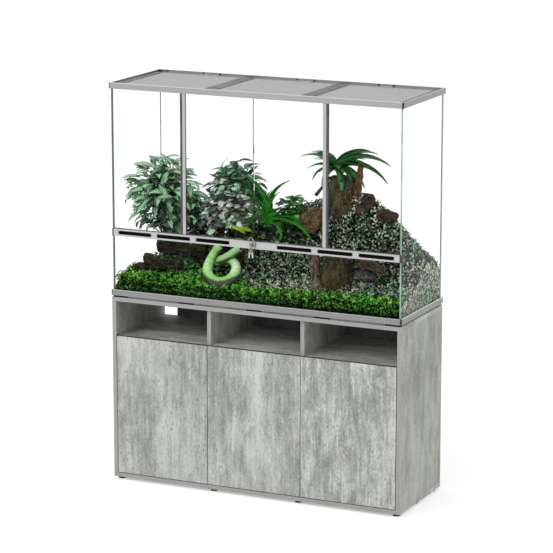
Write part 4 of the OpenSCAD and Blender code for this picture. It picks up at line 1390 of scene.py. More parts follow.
class Strands:
    """Gathers four-sided strands as splines of one curve, and turns them into one closed mesh."""

    def __init__(self, name: str) -> None:
        """Starts an empty curve.

        Args:
            name: the object's name.
        """
        self.curve = bpy.data.curves.new(name, "CURVE")
        self.curve.dimensions = "3D"
        self.curve.bevel_depth = 1.0
        self.curve.bevel_resolution = 0
        self.curve.use_fill_caps = True
        self.name = name

    def add(self, points: np.ndarray, thick: float, thin: float) -> None:
        """Adds a strand.

        Args:
            points: its path.
            thick: its radius at the first point.
            thin: its radius at the last.
        """
        spline = self.curve.splines.new("POLY")
        spline.points.add(len(points) - 1)
        for k, (spot, place) in enumerate(zip(spline.points, points)):
            spot.co = (*place, 1.0)
            spot.radius = thick + (thin - thick) * k / (len(points) - 1)

    def build(self) -> bpy.types.Object:
        """Turns the curve into a mesh and returns its object."""
        return mesh_of_curve(self.name, self.curve)


def arc(start: Sequence[float], middle: Sequence[float], end: Sequence[float], steps: int = 6) -> np.ndarray:
    """Works out points on a smooth arc.

    Args:
        start: where it starts.
        middle: the point that it leaves towards, and arrives from.
        end: where it ends.
        steps: how many points.

    Returns:
        The points.
    """
    t = np.linspace(0.0, 1.0, steps)[:, None]
    a, b, c = (np.array(p, float) for p in (start, middle, end))
    return (1 - t) ** 2 * a + 2 * t * (1 - t) * b + t ** 2 * c


def sunflower(count: int, rng: np.random.Generator, low: float = -1.0, stray: float = 0.12) -> np.ndarray:
    """Spreads directions evenly over a sphere, each astray by a little.

    Args:
        count: how many directions.
        rng: the source of the unevenness.
        low: the height on the unit sphere where they start.
        stray: how far they go astray.

    Returns:
        The directions, of length one.
    """
    k = np.arange(count)
    z = 1 - (1 - low) * (k + 0.5) / count
    turn = k * GOLDEN_ANGLE
    flat = np.sqrt(np.maximum(0.0, 1 - z ** 2))
    spots = np.stack([flat * np.cos(turn), flat * np.sin(turn), z], axis=1)
    return unit(spots + rng.normal(0.0, 1.0, spots.shape) * stray)


def two_tones(rng: np.random.Generator, count: int, bright: float) -> np.ndarray:
    """Returns tones of which a share is bright and the rest nearly dark."""
    lit = rng.random(count) < bright
    return np.where(lit, rng.uniform(0.60, 1.0, count), rng.uniform(0.0, 0.12, count))


STEM_LIMIT = (-0.584, -0.183, 0.0)


@dataclass
class Bush:
    """A leafy plant: the source's leaves over a rounded crown, with more leaves between and under them.

    The guides are the source's own leaves, slim is a leaf's width as a share of its length, and
    bright is the share of bright leaves. Leaves deep inside the crown get painted shade.
    """

    name: str
    centre: Point
    radii: Point
    root: tuple[float, float]
    guides: int
    fillers: int
    form: LeafForm
    length: float
    slim: float
    skin: LeafSkin
    lowest: float = -0.75
    seed: int = 1
    stem: float = 0.0014
    bright: float = 0.45

    def _batch(self, cast: Cast, way: np.ndarray, depth: np.ndarray, flat: np.ndarray, sizes: np.ndarray,
               tones: np.ndarray) -> Batch:
        """Sets leaves with their middles on the crown, arched over the way that they point.

        Args:
            cast: the leaf.
            way: unit directions from the crown's middle.
            depth: how far out each leaf lies, one on the crown's surface.
            flat: the level direction that each leaf points in.
            sizes: the leaves' lengths.
            tones: the leaves' tones.

        Returns:
            The leaves.
        """
        chord = unit(flat + UP * (0.55 * way[:, 2:3] - 0.3))
        upper = way * 0.55 + np.array([0.0, -0.25, 0.75])
        upper = unit(upper - np.sum(upper * chord, axis=1, keepdims=True) * chord)
        half = self.form.bend / 2
        ahead = chord * math.cos(half) + upper * math.sin(half)
        middles = np.array(self.centre) + way * np.array(self.radii) * depth[:, None]
        feet = middles - chord * sizes[:, None] * 0.48
        return Batch(cast, feet, ahead, upper, np.stack([sizes * self.slim, sizes, sizes], axis=1), tones)

    def build(self, terrain: Terrain, maker: LeafMaker, wardrobe: Wardrobe,
              bark: Finish) -> list[bpy.types.Object]:
        """Grows the plant.

        Args:
            terrain: the soil that it stands in.
            maker: the leaf forms.
            wardrobe: the finishes.
            bark: the stems' finish.

        Returns:
            The leaves and the stems.
        """
        rng = np.random.default_rng(self.seed)
        cast = maker.cast(self.form)
        way = sunflower(self.guides, rng, self.lowest, 0.0)
        flat = unit(way * LEVEL)
        layer = 1.0 - 0.1 * (np.arange(self.guides) % 3)
        sizes = self.length * rng.uniform(0.9, 1.05, self.guides)
        outer = self._batch(cast, way, layer, flat, sizes, two_tones(rng, self.guides, self.bright))
        within = sunflower(self.fillers, rng, self.lowest, 0.25)
        stray = unit(within * LEVEL + rng.normal(0.0, 0.55, within.shape) * np.array([1.0, 1.0, 0.5]))
        depth = rng.uniform(0.35, 0.97, self.fillers)
        sizes = self.length * rng.uniform(0.50, 0.88, self.fillers)
        # painted shade: leaves deep inside the crown are darker
        shade = two_tones(rng, self.fillers, self.bright) * np.clip(depth * 1.6 - 0.5, 0.0, 1.0)
        inner = self._batch(cast, within, depth, stray, sizes, shade)
        leaves = Thicket(self.name, (outer, inner)).build()
        wardrobe.dress(self.skin, leaves)
        strands = Strands(f"{self.name}_stems")
        foot = np.array([*self.root, float(terrain.height(self.root[0], self.root[1])) - 0.004])
        feet = np.vstack([outer.feet, inner.feet[::3]])
        for end in feet:
            low = foot + rng.normal(0.0, 0.006, 3) * LEVEL
            bend = np.array([*(0.6 * foot[:2] + 0.4 * end[:2]), end[2] - 0.01])
            strands.add(np.maximum(arc(low, bend, end), STEM_LIMIT), self.stem, self.stem * 0.6)
        stems = strands.build()
        wardrobe.dress(bark, stems)
        return [leaves, stems]


@dataclass
class Rosette:
    """A crown of long leaves that arch from one point: free ones, and ones that end at given tips."""

    name: str
    crown: Point
    width: float
    skin: LeafSkin
    tips: tuple[Point, ...]
    seed: int
    count: int = 0
    reach: Span = (0.0, 0.0)
    lift: Span = (0.0, 0.0)
    form: LeafForm = LeafForm.SWORD
    crown_radius: float = 0.004
    crown_height: float = 0.012

    def build(self, maker: LeafMaker, wardrobe: Wardrobe) -> bpy.types.Object:
        """Grows the rosette: free leaves all round, and leaves that reach given tips.

        Args:
            maker: the leaf forms.
            wardrobe: the finishes.

        Returns:
            The leaves.
        """
        rng = np.random.default_rng(self.seed)
        k = np.arange(self.count)
        turn = k * GOLDEN_ANGLE + rng.normal(0.0, 0.15, self.count)
        low, high = self.lift
        rise = np.radians(low + (high - low) * (k / self.count) + rng.normal(0, 5, self.count))
        reach = rng.uniform(*self.reach, self.count)
        way = np.stack([np.cos(turn) * np.cos(rise), 0.7 * np.sin(turn) * np.cos(rise), np.sin(rise)], axis=1)
        chords = np.vstack([way * reach[:, None], *(np.subtract(tip, self.crown)[None] for tip in self.tips)])
        bend = self.form.bend
        span = math.hypot(math.sin(bend), 1 - math.cos(bend)) / bend
        tilt = math.atan2(1 - math.cos(bend), math.sin(bend))
        length = np.linalg.norm(chords, axis=1)
        flat = unit(chords * LEVEL + np.array([1e-6, 0.0, 0.0]))
        angle = np.arcsin(np.clip(chords[:, 2] / length, -1, 1)) + tilt
        ahead = flat * np.cos(angle)[:, None] + UP * np.sin(angle)[:, None]
        upper = -flat * np.sin(angle)[:, None] + UP * np.cos(angle)[:, None]
        upper = upper + rng.normal(0.0, 0.15, upper.shape)
        sizes = length / span
        order = (np.arange(len(sizes)) / len(sizes))[:, None]
        feet = np.array(self.crown) + flat * self.crown_radius + UP * self.crown_height * order
        grown = np.stack([self.width * rng.uniform(0.85, 1.15, len(sizes)), sizes, sizes], axis=1)
        tones = np.clip(rng.normal(0.5, 0.22, len(sizes)), 0, 1)
        leaves = Thicket(self.name, [Batch(maker.cast(self.form), feet, ahead, upper, grown, tones)]).build()
        wardrobe.dress(self.skin, leaves)
        return leaves


@dataclass
class Planting:
    """The bushes and rosettes, at their places in the photograph."""

    terrain: Terrain
    maker: LeafMaker
    wardrobe: Wardrobe

    def build(self) -> None:
        """Grows every plant."""
        stalk = Rugged("green_stalk", (0.02, 0.03, 0.008), (0.10, 0.13, 0.03), (0.02, 0.02, 0.01),
                       (60.0, 60.0, 20.0), 0.0006)
        silver = LeafSkin("silver_feather_leaf", (0.002, 0.020, 0.006), (0.060, 0.400, 0.085),
                          (0.95, 1.00, 0.95), rib=0.30, feather=1.0, veins=8.0)
        pale = LeafSkin("pale_round_leaf", (0.008, 0.035, 0.008), (0.96, 1.00, 0.84), (1.00, 1.00, 0.96),
                        rib=0.5, vein=0.35, feather=0.6, veins=7.0)
        dark = LeafSkin("dark_lance_leaf", (0.002, 0.012, 0.007), (0.110, 0.420, 0.220), (0.92, 1.00, 0.94),
                        rib=0.7, vein=0.7)
        bright = LeafSkin("bright_round_leaf", (0.004, 0.030, 0.004), (0.13, 0.55, 0.07), (0.60, 0.85, 0.50),
                          rib=0.4, vein=0.4)
        ivy = LeafSkin("ivy_leaf", (0.002, 0.010, 0.003), (0.16, 0.38, 0.12), (0.72, 0.82, 0.62), rim=0.7)
        bushes = (
            Bush("feathered_bush", (-0.445, -0.060, 1.120), (0.150, 0.115, 0.140), (-0.430, -0.020), 36, 330,
                 LeafForm.BROAD, 0.088, 0.36, silver, seed=11, bright=0.82),
            Bush("feathered_side", (-0.318, -0.055, 1.050), (0.070, 0.065, 0.085), (-0.330, -0.030), 0, 120,
                 LeafForm.BROAD, 0.080, 0.38, silver, seed=20, bright=0.6),
            Bush("feathered_bush_skirt", (-0.420, -0.095, 1.010), (0.140, 0.070, 0.060), (-0.425, -0.040),
                 12, 60, LeafForm.BROAD_LIMP, 0.082, 0.40, silver, seed=12, bright=0.4),
            Bush("pale_round_plant", (-0.222, -0.045, 1.050), (0.070, 0.060, 0.085), (-0.215, -0.020),
                 16, 200, LeafForm.ROUND, 0.037, 0.80, pale, seed=13, stem=0.0009, bright=0.7),
            Bush("cream_leaf_plant", (-0.138, -0.045, 1.070), (0.070, 0.055, 0.100), (-0.132, -0.030), 0, 240,
                 LeafForm.ROUND, 0.037, 0.80, pale, seed=19, stem=0.0009, bright=0.7),
            Bush("dome_pale_leaves", (-0.190, -0.010, 1.130), (0.090, 0.062, 0.088), (-0.190, 0.000), 0, 190,
                 LeafForm.ROUND, 0.042, 0.78, pale, seed=23, stem=0.0009, bright=0.6),
            Bush("ivy_under_dome", (-0.165, 0.015, 0.962), (0.090, 0.060, 0.066), (-0.172, 0.030), 0, 320,
                 LeafForm.IVY, 0.023, 0.85, ivy, seed=24, stem=0.0006, bright=0.35),
            Bush("dark_dome", (-0.180, 0.040, 1.130), (0.110, 0.090, 0.115), (-0.190, 0.040), 26, 220,
                 LeafForm.LANCE, 0.084, 0.32, dark, seed=14, bright=0.5),
            Bush("bright_round_plant", (0.075, -0.015, 1.090), (0.062, 0.050, 0.055), (0.075, 0.010), 12, 110,
                 LeafForm.ROUND, 0.036, 0.72, bright, seed=15, stem=0.0007, bright=0.6),
            Bush("ivy_behind_sword", (-0.095, 0.030, 1.000), (0.115, 0.085, 0.090), (-0.085, 0.060), 0, 620,
                 LeafForm.IVY, 0.024, 0.85, ivy, seed=16, stem=0.0006, bright=0.4),
            Bush("ivy_by_rock", (0.055, 0.000, 0.990), (0.095, 0.075, 0.065), (0.055, 0.020), 0, 460,
                 LeafForm.IVY, 0.022, 0.85, ivy, seed=17, stem=0.0006, bright=0.35),
            Bush("ivy_on_logs", (-0.380, -0.112, 0.876), (0.120, 0.034, 0.034), (-0.380, -0.100), 0, 300,
                 LeafForm.IVY, 0.019, 0.85, ivy, seed=26, stem=0.0005, bright=0.4),
            Bush("ivy_at_left", (-0.330, 0.020, 0.968), (0.120, 0.080, 0.090), (-0.320, 0.040), 0, 560,
                 LeafForm.IVY, 0.023, 0.85, ivy, seed=18, stem=0.0006, bright=0.35),
        )
        for bush in bushes:
            leaves, stems = bush.build(self.terrain, self.maker, self.wardrobe, stalk)
            for piece, name in ((leaves, bush.name), (stems, f"{bush.name}_stems")):
                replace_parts(finish_piece(piece, name, "root"), "broadleaf_plants")
        self._rosettes()

    def _rosettes(self) -> None:
        """Grows the two lime leaves, the sword plant, the arching fronds and the fern."""
        lime = LeafSkin("lime_leaf", (0.24, 0.32, 0.02), (0.66, 0.66, 0.08), (0.60, 0.70, 0.20),
                        rib=0.5, vein=0.2)
        sword = LeafSkin("sword_leaf", (0.002, 0.030, 0.003), (0.055, 0.380, 0.028), (0.34, 0.75, 0.22),
                         rib=0.7, veins=2.0, roughness=0.30, specular=0.15)
        fern = LeafSkin("fern_leaf", (0.002, 0.024, 0.006), (0.045, 0.280, 0.045), (0.55, 0.80, 0.50),
                        rib=0.9, vein=0.3, veins=16.0, roughness=0.30, specular=0.18)
        lone = Rosette("lime_leaves", (-0.148, -0.090, 1.014), 0.044, lime,
                       ((-0.062, -0.092, 0.998), (-0.088, -0.100, 0.990)), 3, form=LeafForm.BROAD)
        crowns = (
            Rosette("sword_rosette", (-0.006, -0.060, 1.026), 0.027, sword,
                    ((-0.131, -0.060, 1.219), (-0.169, -0.060, 1.176), (0.096, -0.060, 1.206),
                     (0.136, -0.080, 1.042), (-0.030, -0.060, 1.158), (0.011, -0.060, 1.158),
                     (0.190, -0.100, 0.985), (0.150, -0.100, 1.010), (-0.110, -0.090, 1.010),
                     (-0.060, -0.080, 0.985), (0.090, -0.110, 0.985), (0.040, -0.070, 1.150)),
                    21, 16, (0.090, 0.140), (20.0, 80.0)),
            Rosette("arching_fronds", (-0.205, -0.020, 1.130), 0.034, fern,
                    ((-0.060, -0.030, 1.110), (-0.045, -0.045, 1.070), (-0.090, -0.020, 1.180),
                     (-0.130, -0.020, 1.225), (-0.270, -0.020, 1.190), (-0.180, -0.030, 1.235)), 25),
            Rosette("fern_rosette", (0.219, 0.060, 1.236), 0.031, fern,
                    ((0.076, 0.060, 1.271), (0.121, 0.060, 1.292), (0.130, 0.060, 1.185),
                     (0.379, 0.060, 1.295), (0.432, 0.060, 1.254), (0.424, 0.060, 1.189),
                     (0.354, 0.060, 1.312), (0.336, 0.040, 1.166), (0.299, 0.030, 1.192),
                     (0.260, 0.020, 1.150), (0.190, 0.030, 1.150)),
                    22, 18, (0.080, 0.125), (-14.0, 34.0)),
        )
        for crown, slot, node in ((lone, "broad_leaves", "broadleaf_plants"),
                                  *((crown, "sword_leaves", "rosette_plants") for crown in crowns)):
            piece = crown.build(self.maker, self.wardrobe)
            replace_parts(finish_piece(piece, crown.name, "root"), node)


# ---------------------------------------------------------------- wood, stones and the snake
class Grain(Enum):
    """The procedural textures that push a surface in and out."""

    CLOUDS = "CLOUDS"
    CELLS = "VORONOI"


def roughen(piece: bpy.types.Object, grain: Grain, size: float, depth: float) -> None:
    """Pushes a piece's surface in and out, and applies it.

    Args:
        piece: the piece to roughen.
        grain: the texture.
        size: the size of its forms, in metres.
        depth: how far the surface moves in all.
    """
    name = f"{grain.name}_{size}"
    texture = bpy.data.textures.get(name) or bpy.data.textures.new(name, grain.value)
    texture.noise_scale = size
    push = piece.modifiers.new("roughen", "DISPLACE")
    push.texture = texture
    push.strength = depth
    push.mid_level = 0.5
    apply_modifiers(piece)


@dataclass
class Log:
    """A knotty length of trunk or branch between two points, its start hollow by a share of its girth."""

    name: str
    start: Point
    end: Point
    thick: float
    thin: float
    knots: float = 0.012
    hollow: float = 0.0
    cuts: int = 13

    def build(self) -> bpy.types.Object:
        """Models the log.

        Returns:
            Its object.
        """
        clear_selection()
        bpy.ops.mesh.primitive_cylinder_add(vertices=28, radius=1.0, depth=1.0, end_fill_type="NGON")
        log = bpy.context.object
        bpy.ops.object.mode_set(mode="EDIT")
        mesh = bmesh.from_edit_mesh(log.data)
        for edge in mesh.edges:
            edge.select = abs(edge.verts[0].co.z - edge.verts[1].co.z) > 0.5
        bpy.ops.mesh.subdivide(number_cuts=self.cuts)
        if self.hollow:
            mesh = bmesh.from_edit_mesh(log.data)
            bpy.ops.mesh.select_all(action="DESELECT")
            for face in mesh.faces:
                face.select = face.normal.z < -0.9 and len(face.verts) > 4
            bpy.ops.mesh.inset(thickness=1.0 - self.hollow)
            bpy.ops.mesh.extrude_region_move(TRANSFORM_OT_translate={"value": (0.0, 0.0, 0.45)})
        mesh = bmesh.from_edit_mesh(log.data)
        stretches = self.cuts + 1
        for k in range(stretches + 1):
            girth = self.thick + (self.thin - self.thick) * k / stretches
            select_where(mesh, lambda co, level=k / stretches - 0.5: abs(co.z - level) < 0.01)
            bpy.ops.transform.resize(value=(girth, girth, 1.0))
        bpy.ops.object.mode_set(mode="OBJECT")
        way = Vector(self.end) - Vector(self.start)
        log.scale = (1.0, 1.0, way.length)
        log.location = (Vector(self.start) + Vector(self.end)) / 2
        log.rotation_euler = way.to_track_quat("Z", "Y").to_euler()
        settle(log)
        smooth = log.modifiers.new("rounder", "SUBSURF")
        smooth.levels = smooth.render_levels = 1
        apply_modifiers(log)
        roughen(log, Grain.CLOUDS, 0.09, self.knots * 1.6)
        roughen(log, Grain.CLOUDS, 0.022, self.knots * 0.7)
        take(log)
        bpy.ops.object.shade_smooth_by_angle(angle=math.radians(50))
        return log


@dataclass
class Stone:
    """A rounded or slaty stone, turned by three angles in degrees."""

    name: str
    at: Point
    size: Point
    turn: Point
    slaty: bool = False
    rough: float = 0.016

    def build(self) -> bpy.types.Object:
        """Models the stone.

        Returns:
            Its object.
        """
        clear_selection()
        if self.slaty:
            bpy.ops.mesh.primitive_cube_add(size=1.0)
        else:
            bpy.ops.mesh.primitive_ico_sphere_add(subdivisions=4, radius=0.5)
        stone = bpy.context.object
        if self.slaty:
            edit_all()
            bpy.ops.mesh.bevel(offset=0.12, segments=2, affect="EDGES")
            bpy.ops.mesh.subdivide(number_cuts=7)
            bpy.ops.object.mode_set(mode="OBJECT")
        stone.scale = self.size
        stone.rotation_euler = [math.radians(a) for a in self.turn]
        stone.location = self.at
        settle(stone)
        roughen(stone, Grain.CELLS, 0.05, self.rough)
        roughen(stone, Grain.CLOUDS, 0.02, self.rough * 0.45)
        take(stone)
        bpy.ops.object.shade_smooth_by_angle(angle=math.radians(35))
        return stone


@dataclass
class Hardscape:
    """The logs, the stump, the root ball and the stones among the plants."""

    wardrobe: Wardrobe
    clump_at: Point = (0.301, -0.112, 0.880)
    clump_radii: Point = (0.058, 0.050, 0.082)
    fibres: int = 420
    fibre_limit: Point = (-1.0, -0.186, 0.770)

    def build(self) -> None:
        """Models every log, the roots and the stones."""
        bark = Rugged("grey_bark", (0.006, 0.005, 0.003), (0.075, 0.058, 0.038), (0.002, 0.002, 0.001),
                      (16.0, 42.0, 42.0), 0.010, moss_share=0.6)
        red = Rugged("red_heartwood", (0.050, 0.020, 0.012), (0.300, 0.150, 0.090), (0.02, 0.010, 0.006),
                     (60.0, 60.0, 9.0), 0.006)
        stump = Rugged("stump_wood", (0.016, 0.014, 0.008), (0.170, 0.145, 0.080),
                       stretch=(52.0, 52.0, 12.0), relief=0.008, moss=(0.03, 0.07, 0.02), moss_share=0.5)
        speckled = Rugged("speckled_bark", (0.020, 0.015, 0.010), (0.380, 0.310, 0.230),
                          (0.008, 0.006, 0.004), (80.0, 80.0, 22.0), 0.008)
        logs = (
            (bark, "hollow_log", (-0.448, -0.110, 0.928), (-0.255, -0.070, 0.900), 0.032, 0.028, 0.012, 0.70),
            (bark, "bark_log", (-0.500, -0.120, 0.866), (-0.330, -0.130, 0.862), 0.026, 0.020),
            (bark, "low_log", (-0.560, -0.110, 0.820), (-0.400, -0.128, 0.858), 0.022, 0.018),
            (stump, "stump", (0.250, 0.075, 1.060), (0.254, 0.070, 1.222), 0.076, 0.050, 0.024),
            (red, "stump_spur", (0.296, 0.060, 1.090), (0.324, 0.062, 1.285), 0.022, 0.012),
            (speckled, "leaning_trunk", (0.252, -0.150, 0.792), (0.196, -0.105, 0.960), 0.019, 0.017, 0.009),
            (stump, "pale_branch", (0.150, 0.030, 1.140), (0.205, 0.050, 1.215), 0.007, 0.004, 0.003),
        )
        for finish, *measures in logs:
            log = Log(*measures)
            self._place(log.build(), finish, log.name, "driftwood")
        self._root_ball()
        self._stones()

    def _place(self, piece: bpy.types.Object, finish: Finish, name: str, node: str) -> None:
        """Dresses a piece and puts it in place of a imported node.

        Args:
            piece: the modelled piece.
            finish: its finish.
            name: its name.
            node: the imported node.
        """
        self.wardrobe.dress(finish, piece)
        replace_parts(finish_piece(piece, name, "root"), node)

    def _stones(self) -> None:
        """Models every stone."""
        ochre = Rugged("ochre_stone", (0.060, 0.036, 0.016), (0.360, 0.250, 0.120), (0.02, 0.015, 0.01),
                       (28.0, 28.0, 28.0))
        russet = Rugged("russet_stone", (0.016, 0.012, 0.009), (0.150, 0.108, 0.078),
                        stretch=(30.0, 30.0, 60.0), relief=0.005)
        plum = Rugged("plum_stone", (0.010, 0.009, 0.011), (0.120, 0.105, 0.115), (0.006, 0.006, 0.006),
                      (26.0, 26.0, 26.0))
        stones = (
            (ochre, "ochre_rock", (0.141, 0.004, 1.058), (0.105, 0.080, 0.088), (10, 15, 20), False, 0.030),
            (russet, "slate", (0.447, -0.128, 0.925), (0.115, 0.060, 0.034), (-18, 14, 8), True, 0.012),
            (plum, "plum_rock", (0.428, -0.150, 0.893), (0.088, 0.058, 0.046), (0, 8, -15)),
            (russet, "bank_stone", (0.362, 0.050, 1.120), (0.048, 0.048, 0.052), (20, -15, 30), True, 0.024),
            (russet, "bank_chip", (0.335, 0.040, 1.095), (0.050, 0.045, 0.050), (5, 30, 10), True, 0.020),
            (russet, "edge_stone", (0.436, 0.055, 1.080), (0.056, 0.050, 0.036), (0, 25, -10), True, 0.022),
            (plum, "low_stone", (0.505, -0.060, 0.948), (0.070, 0.060, 0.040), (10, 20, 40), False, 0.026),
        )
        for finish, *measures in stones:
            stone = Stone(*measures)
            self._place(stone.build(), finish, stone.name, "rocks")

    def _root_ball(self) -> None:
        """Models the brown clump of roots: a rough core under many hanging fibres."""
        centre, radii = np.array(self.clump_at), np.array(self.clump_radii)
        core = Stone("root_clump", self.clump_at, tuple(2 * radii * 0.9), (0, 0, 0), rough=0.030).build()
        rng = np.random.default_rng(5)
        strands = Strands("root_fibres")
        for way in sunflower(self.fibres, rng, -0.9):
            foot = centre + way * radii * 0.86
            out = foot + way * 0.016 + np.array([0.0, 0.0, 0.006])
            tip = foot + way * 0.020 + np.array([0.0, 0.0, -0.030]) + rng.normal(0.0, 0.008, 3)
            strands.add(arc(foot, out, np.maximum(tip, self.fibre_limit), 5), 0.0012, 0.0005)
        earth = Rugged("root_fibre", (0.012, 0.010, 0.005), (0.190, 0.165, 0.088), (0.006, 0.004, 0.003),
                       (90.0, 90.0, 30.0), 0.002)
        for piece, name in ((core, "root_clump"), (strands.build(), "root_fibres")):
            self._place(piece, earth, name, "driftwood")


@dataclass
class Snake:
    """The coiled snake figure in front of the planting: a ring of body and the neck over it."""

    wardrobe: Wardrobe
    girth: float = 0.0200
    head_size: Point = (0.0135, 0.0215, 0.0100)
    head_at: Point = (-0.092, -0.105, 0.948)
    head_turn: Point = (24.0, 0.0, -62.0)
    ring: tuple[Point, ...] = (
        (-0.185, -0.112, 0.945), (-0.205, -0.118, 0.915), (-0.222, -0.126, 0.880), (-0.226, -0.138, 0.848),
        (-0.205, -0.152, 0.820), (-0.165, -0.160, 0.808), (-0.125, -0.155, 0.818), (-0.102, -0.140, 0.848),
        (-0.108, -0.118, 0.878), (-0.140, -0.098, 0.893), (-0.175, -0.095, 0.888), (-0.205, -0.098, 0.872))
    neck: tuple[Point, ...] = (
        (-0.100, -0.108, 0.942), (-0.125, -0.116, 0.922), (-0.150, -0.120, 0.905), (-0.172, -0.112, 0.893),
        (-0.195, -0.100, 0.885))

    def build(self) -> None:
        """Models the body along its coil, stouter towards the floor, and the head."""
        curve = bpy.data.curves.new("snake_body", "CURVE")
        curve.dimensions = "3D"
        curve.resolution_u = 8
        curve.bevel_depth = self.girth
        curve.bevel_resolution = 6
        curve.use_fill_caps = True
        for path in (self.ring, self.neck):
            spline = curve.splines.new("NURBS")
            spline.points.add(len(path) - 1)
            spline.order_u = 4
            spline.use_endpoint_u = True
            for spot, place in zip(spline.points, path):
                spot.co = (*place, 1.0)
                spot.radius = 0.78 + 0.34 * max(0.0, (0.90 - place[2]) / 0.09)
        body = mesh_of_curve("snake_body", curve)
        body.data.uv_layers[0].name = LEAF_UV
        head = self._head()
        self.wardrobe.dress(SnakeSkin(), body, head)
        for piece, name in ((body, "snake_body"), (head, "snake_head")):
            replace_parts(finish_piece(piece, name, "root"), "snake")

    def _head(self) -> bpy.types.Object:
        """Models the head as a rounded wedge, narrow at the snout and flat below.

        Returns:
            Its object.
        """
        clear_selection()
        bpy.ops.mesh.primitive_uv_sphere_add(segments=20, ring_count=14, radius=1.0)
        head = bpy.context.object
        head.data.uv_layers[0].name = LEAF_UV
        edit_all()
        mesh = bmesh.from_edit_mesh(head.data)
        bpy.ops.transform.resize(value=self.head_size)
        for start, squeeze in ((0.004, 0.92), (0.010, 0.86), (0.015, 0.84)):
            select_where(mesh, lambda co, s=start: co.y > s)
            bpy.ops.transform.resize(value=(squeeze, 1.0, squeeze))
        select_where(mesh, lambda co: co.z < -0.004)
        bpy.ops.transform.resize(value=(1.0, 1.0, 0.6))
        bpy.ops.object.mode_set(mode="OBJECT")
        head.location = self.head_at
        head.rotation_euler = [math.radians(angle) for angle in self.head_turn]
        settle(head)
        bpy.ops.object.shade_smooth()
        return head


